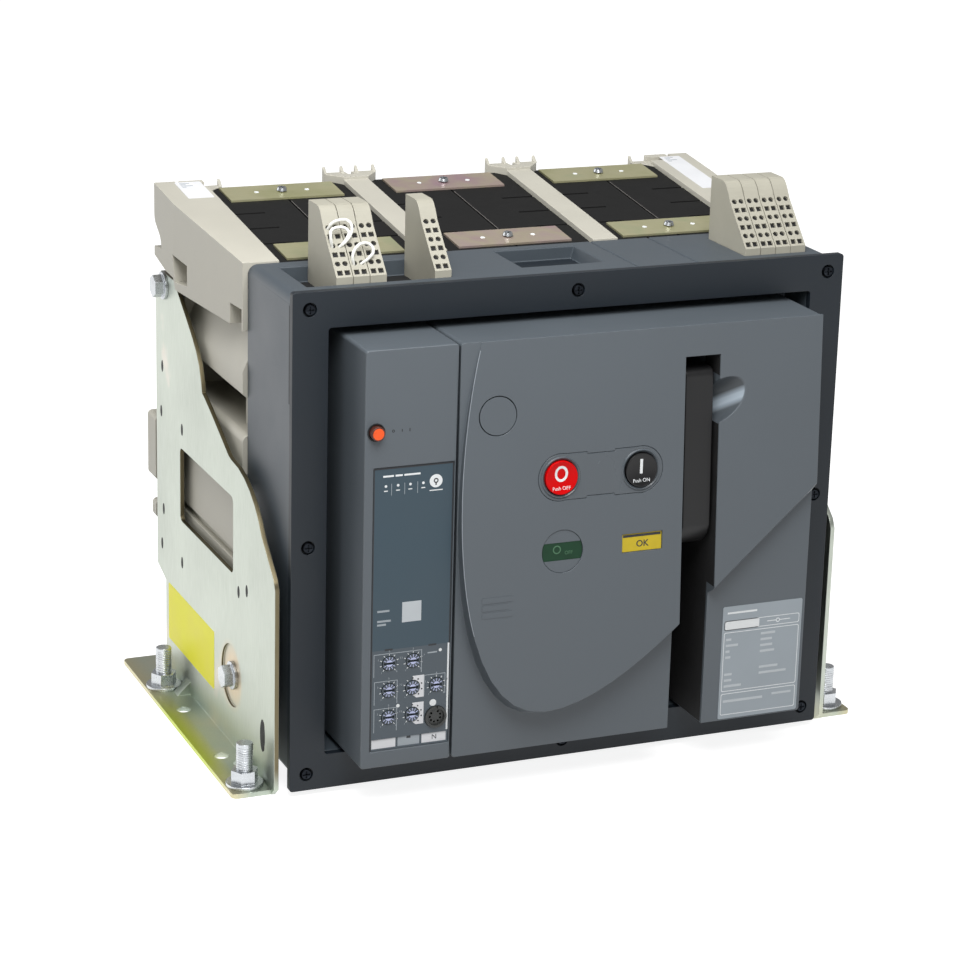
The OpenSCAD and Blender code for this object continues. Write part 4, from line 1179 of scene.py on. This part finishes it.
class BREAKER_OT_trip_unit(bpy.types.Operator):
    """Finishes the trip unit and prints its scales and marks"""
    bl_idname = "breaker.trip_unit"
    bl_label = "Trip unit"

    def execute(self, context):
        paint("trip_unit", "trip_plate")
        paint("test_connector", "connector")
        soften("reset_button", "reset_skirt")
        for node in DIALS:
            self.dial(node)
        self.upper_prints()
        self.panel_lines()
        self.dial_scales()
        self.foot_labels()
        self.reset_marks()
        return {"FINISHED"}

    def lay(self, sketch, name, key, slot="dial_white"):
        """Makes a sketch a piece on the trip plate, with u from its left edge and v from the floor."""
        sketch.piece(name, front_face(TRIP_Y, BOX["trip_unit"][0].x), key, slot=slot)

    def dial(self, node):
        """A dial's pale middle on either side of its slot, with pale rays round it, which turn with it."""
        paint(node, "dial_skirt")
        radius, half_slot = 2.1, 0.7
        reach = math.acos(half_slot / radius)
        marks = Sketch()
        for turn in (0, math.pi):
            arc = [math.pi / 2 + turn - reach + 2 * reach * i / 10 for i in range(11)]
            marks.fill([round_point(0, 0, radius, angle) for angle in arc])
            for step in range(5):
                marks.ray(0, 0, turn + math.radians(30 + 30 * step), 2.5, 4.1, 0.42)
        centre = middle(node)
        place = front_face(BOX[node][0].y, centre.x, centre.z)
        marks.piece(node + "_marks", place, "dial", node, "dial_white")

    def upper_prints(self):
        """Title rules, four status marks, a round test button, a plain pale square, and dark edge lines of
        painted shadow where the plate meets its pocket.
        """
        low, top = (corner.z / MM for corner in BOX["trip_unit"])
        width = (BOX["trip_unit"][1].x - BOX["trip_unit"][0].x) / MM
        test, panel = 38.6, PANEL_TOP / MM
        marks = Sketch()
        for start, end in ((5.8, 12.4), (13.4, 17.8), (18.8, 28.8)):
            marks.bar(start, top - 5.8, end, top - 4.7)
        for u in (7.6, 15.1, 22.7, 30.7):
            marks.disc(u, top - 11.2, 0.8)
            marks.bar(u - 1.2, top - 14.4, u + 1.2, top - 13.8)
        marks.disc(test, top - 10.7, 4)
        marks.bar(test - 4, top - 16.6, test + 4.2, top - 16)
        self.lay(marks, "trip_marks", "white")
        faint = Sketch()
        for u in (11.1, 19.2, 27.2):
            faint.bar(u - 0.15, top - 17, u + 0.15, top - 10)
        for end, drop in ((11, 87.6), (12, 93.8), (9, 96)):
            faint.bar(3.5, top - drop - 0.6, end, top - drop + 0.6)
        self.lay(faint, "trip_faint_marks", "pale")
        square = Sketch()
        square.bar(19, top - 95.8, 31, top - 83.3)
        self.lay(square, "trip_square", "faint_white")
        dark = Sketch(2 * sizes().print_height)
        dark.ring(test, top - 10.5, 1.5, 0.8)
        dark.bar(test - 0.4, top - 13.2, test + 0.4, top - 12)
        self.lay(dark, "trip_dark_marks", "ink", "black_plastic")
        # Painted shadow: dark lines along the plate's top, left and right edges, and two short dark marks at
        # the panel's top
        edge = Sketch()
        under_line = top - 0.9
        edge.bar(0, under_line, width, top)
        edge.bar(0, low, 0.7, under_line)
        edge.bar(width - 0.6, panel, width, under_line)
        for u in (8.5, 36):
            edge.bar(u, panel - 0.5, u + 5, panel + 0.6)
        self.lay(edge, "trip_edge_lines", "ink", "black_plastic")

    def panel_lines(self):
        """Pale outlines that group the dials, dots, and a white line along the right edge."""
        line = 0.4
        lines = Sketch()
        for left, right, low, high in ((1.7, 32, 85.5, 99.8), (2.2, 16.9, 68, 82.6),
                                       (33.6, 47.2, 70.5, 83.4), (2.2, 16.9, 50.5, 65.4)):
            lines.bar(left, high - line, right, high)
            lines.bar(left, low, left + line, high - line)
            lines.bar(right - line, low, right, high - line)
        lines.bar(35.6, 96.8, 41.6, 97.6)
        self.lay(lines, "panel_lines", "pale")
        white = Sketch()
        white.bar(48.2, 47, 49.3, PANEL_TOP / MM)
        for u, v, radius in ((17.4, 66, 1.1), (39.6, 65.2, 2.1), (43.6, 98.2, 1)):
            white.disc(u, v, radius)
        self.lay(white, "panel_dots", "white")

    def dial_scales(self):
        """Rays and numbers round each dial, and white patches with dark dots beside two of them."""
        rays, patches, numbers, dots = Sketch(), Sketch(), Sketch(), Sketch(2 * sizes().print_height)
        inner, patch, patch_foot = 4.8, 7.2, 6.7
        for node in DIALS:
            centre = middle(node)
            u, v = (centre.x - BOX["trip_unit"][0].x) / MM, centre.z / MM
            patched = node in ("dial_4", "dial_7")
            for step in range(9):
                angle = math.radians(230 - 35 * step)
                if patched and math.cos(angle) > -0.1:
                    dots.disc(*round_point(u, v, 6, angle), 0.5)
                else:
                    rays.ray(u, v, angle, 4.95, 6.1, 0.4)
                    if step % 2 == 0:
                        numbers.word(str(step + 1), 1.7, *round_point(u, v, 7.4, angle))
            if patched:
                arc = [round_point(u, v, inner, math.pi * (0.5 - i / 12)) for i in range(13)]
                patches.fill([(u, v + patch)] + arc + [(u + 2.4, v - patch_foot), (u + patch, v - patch_foot),
                                                       (u + patch, v + patch)])
        self.lay(rays, "dial_rays", "white")
        self.lay(patches, "dial_patches", "paper")
        self.lay(dots, "dial_dots", "ink", "black_plastic")
        self.lay(numbers, "dial_numbers", "pale")

    def foot_labels(self):
        """Label strips in the sunk foot of the trip plate."""
        low = BOX["trip_unit"][0]
        where, _ = touch("trip_unit", (low.x + 0.008, -1, low.z + 0.004), Y)
        place = front_face(where.y, low.x, low.z)
        foot, top = 0.9, 7
        papers = Sketch(sizes().label_height)
        papers.bar(0.6, foot, 16.4, top)
        papers.bar(33, foot, 48.8, top)
        papers.piece("foot_labels", place, "paper", slot="dial_white")
        grey = Sketch(sizes().label_height)
        grey.bar(17.8, foot, 31.6, top)
        grey.piece("foot_strip", place, "pale", slot="slate_cover")
        marks = Sketch(sizes().label_height + sizes().print_height)
        marks.word("N", 4.4, 41, 4)
        marks.bar(23.4, 5.4, 26, 6.8)
        marks.piece("foot_marks", place, "ink", slot="black_plastic")

    def reset_marks(self):
        """A dark ring round the reset button, its orange face and three small marks beside it."""
        centre = middle("reset_button")
        place = front_face(COVER_Y, centre.x, centre.z)
        ring = Sketch(0.0005)
        ring.ring(0, 0, 5.4, 4.7)
        ring.piece("reset_ring", place, "shadow", slot="black_plastic")
        button = Sketch(2 * sizes().print_height)
        button.disc(0, 0, 3.4)
        button.piece("reset_face", front_face(BOX["reset_button"][0].y, centre.x, centre.z), "orange",
                     "reset_button", "orange_button")
        marks = Sketch()
        marks.ring(10.5, 0, 0.9, 0.4)
        marks.bar(15.6, -0.8, 16.2, 0.8)
        marks.bar(20.3, -1, 20.9, 1)
        marks.piece("reset_marks", place, "ink", slot="black_plastic")


class BREAKER_OT_terminal_blocks(bpy.types.Operator):
    """Finishes the control terminal blocks and their wire links"""
    bl_idname = "breaker.terminal_blocks"
    bl_label = "Terminal blocks"

    def execute(self, context):
        sunk = -2.4
        floors = []
        for node in BLOCKS:
            paint(node, "blocks")
            place = slope_face(node)
            columns, rows = block_holes(node)
            floors += [place @ Vector((u, v, sunk)) for u in columns for v in rows]
        # Painted shadow: dark pegs sunk in each hole of the sloping fronts
        grow("hole_floors", peg_tree, floors,
             {"Radius": 0.00225, "Height": 0.002, "Turn": (BLOCK_SLOPE, 0, 0)}, "shadow")
        self.links()
        return {"FINISHED"}

    def links(self):
        """Three stiff wire links on the left block, from hole to hole, as u, v and height on its slope."""
        place = slope_face("terminal_block_left")
        u, v = block_holes("terminal_block_left")
        sunk, beside, below = -2, 0.7, 0.5
        paths = (
            [(u[0], v[5], sunk), (5.8, 35.6, 3), (9.6, 35.8, 5), (14.1, 34.5, 5.5), (15.5, 30.4, 5),
             (13.8, 26, 4), (10.2, 22.4, 2), (u[1] - beside, v[3] - below, sunk)],
            [(u[0], v[3], sunk), (1.8, 25.5, 3), (2.3, 28.8, 5), (6.4, 30.6, 5.5), (11, 29.7, 5.5),
             (12.7, 27.2, 5), (11.5, 24.4, 3), (u[1] + beside, v[3] + below, sunk)],
            [(u[2], v[1], sunk), (12.6, 13, 2), (15.1, 17, 4), (19.6, 19.2, 5), (23.6, 18.1, 5),
             (25.2, 14.3, 4), (22.3, 10.9, 2), (u[3], v[1], sunk)],
        )
        links = joined([wire([place @ Vector(point) for point in path], sizes().wire) for path in paths])
        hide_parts("jumper_wires")
        settle(links, "wire_links", finish("wire"), ROOT)


class BREAKER_OT_brackets(bpy.types.Operator):
    """Finishes the brackets, bolts and studs and adds threads and a blank sticker"""
    bl_idname = "breaker.brackets"
    bl_label = "Brackets"

    def execute(self, context):
        for node, key in (("left_bracket", "zinc"), ("right_bracket", "zinc"), ("bracket_bolts", "bright"),
                          ("foot_studs", "bright")):
            soften(node, key)
        self.threads()
        self.dark_holes()
        self.sticker()
        return {"FINISHED"}

    def threads(self):
        """Threads on the foot studs above their nuts."""
        low, high = BOX["foot_studs"]
        washer, nut_top, tip = 0.0115, 0.0135, 0.0012
        points = [(x, y, nut_top) for x in (low.x + washer, high.x - washer)
                  for y in (low.y + washer, high.y - washer)]
        grow("stud_threads", thread_tree, points,
             {"Radius": 0.00475, "Length": high.z - nut_top - tip, "Pitch": sizes().thread_pitch}, "bright")

    def dark_holes(self):
        """Dark ovals of painted shadow on the small holes in both brackets, by depth from the door frame and
        height.
        """
        holes = ((233, 209), (236, 178), (190, 178), (232, 112), (236, 87), (191, 88), (57, 114), (73, 108))
        for node, direction in (("left_bracket", X), ("right_bracket", -X)):
            where, _ = touch(node, direction * -1 + Y * STICKER_Y + Z * STICKER_Z, direction)
            shadow_ovals = Sketch()
            for depth, height in holes:
                shadow_ovals.fill(oval(-direction.x * depth, height, 2.1, 3.9, 24))
            shadow_ovals.fill(oval(-direction.x * 26, 32, 4.6, 10.4, 32))
            place = face(Vector((where.x, DOOR_Y, 0)), Y * -direction.x, Z)
            shadow_ovals.piece(node + "_hole_mouths", place, "shadow", slot="black_plastic")

    def sticker(self):
        """A blank yellow sticker on the outside of the left bracket."""
        half_length, half_height = 49.5, 19.4
        where, _ = touch("left_bracket", (-1, STICKER_Y, STICKER_Z), X)
        label = Sketch(sizes().label_height)
        label.fill(round_rectangle(-half_length, -half_height, half_length, half_height, 1.5))
        label.piece("bracket_sticker", face(where, -Y, Z), "sticker", slot="yellow_window")


class BREAKER_OT_main_terminals(bpy.types.Operator):
    """Finishes the main terminal pads at the back"""
    bl_idname = "breaker.main_terminals"
    bl_label = "Main terminals"

    def execute(self, context):
        for node in ("upper_terminals", "lower_terminals"):
            soften(node, "pad")
        return {"FINISHED"}


class BREAKER_PT_sidebar(bpy.types.Panel):
    """Lists the breaker's steps, colours and sizes"""
    bl_idname = "BREAKER_PT_sidebar"
    bl_label = "Air Circuit Breaker"
    bl_space_type = "VIEW_3D"
    bl_region_type = "UI"
    bl_category = "Breaker"

    def draw(self, context):
        for operator in OPERATORS:
            self.layout.operator(operator.bl_idname)
        for name in GROUPS:
            group = getattr(context.scene, name)
            column = self.layout.column()
            for key in group.__annotations__:
                column.prop(group, key)


OPERATORS = (BREAKER_OT_stage, BREAKER_OT_case, BREAKER_OT_arc_chutes, BREAKER_OT_housing, BREAKER_OT_cover,
             BREAKER_OT_controls, BREAKER_OT_trip_unit, BREAKER_OT_terminal_blocks, BREAKER_OT_brackets,
             BREAKER_OT_main_terminals)
GROUPS = {"breaker_colours": BreakerColours, "breaker_sizes": BreakerSizes, "breaker_view": BreakerView}
CLASSES = (*GROUPS.values(), *OPERATORS, BREAKER_PT_sidebar)


def register():
    for cls in CLASSES:
        bpy.utils.register_class(cls)
    for name, group in GROUPS.items():
        setattr(bpy.types.Scene, name, PointerProperty(type=group))


def unregister():
    for name in GROUPS:
        delattr(bpy.types.Scene, name)
    for cls in reversed(CLASSES):
        bpy.utils.unregister_class(cls)


def main():
    register()
    bpy.ops.breaker.stage()
    bpy.ops.breaker.case()
    bpy.ops.breaker.arc_chutes()
    bpy.ops.breaker.housing()
    bpy.ops.breaker.cover()
    bpy.ops.breaker.controls()
    bpy.ops.breaker.trip_unit()
    bpy.ops.breaker.terminal_blocks()
    bpy.ops.breaker.brackets()
    bpy.ops.breaker.main_terminals()


if __name__ == "__main__":
    main()
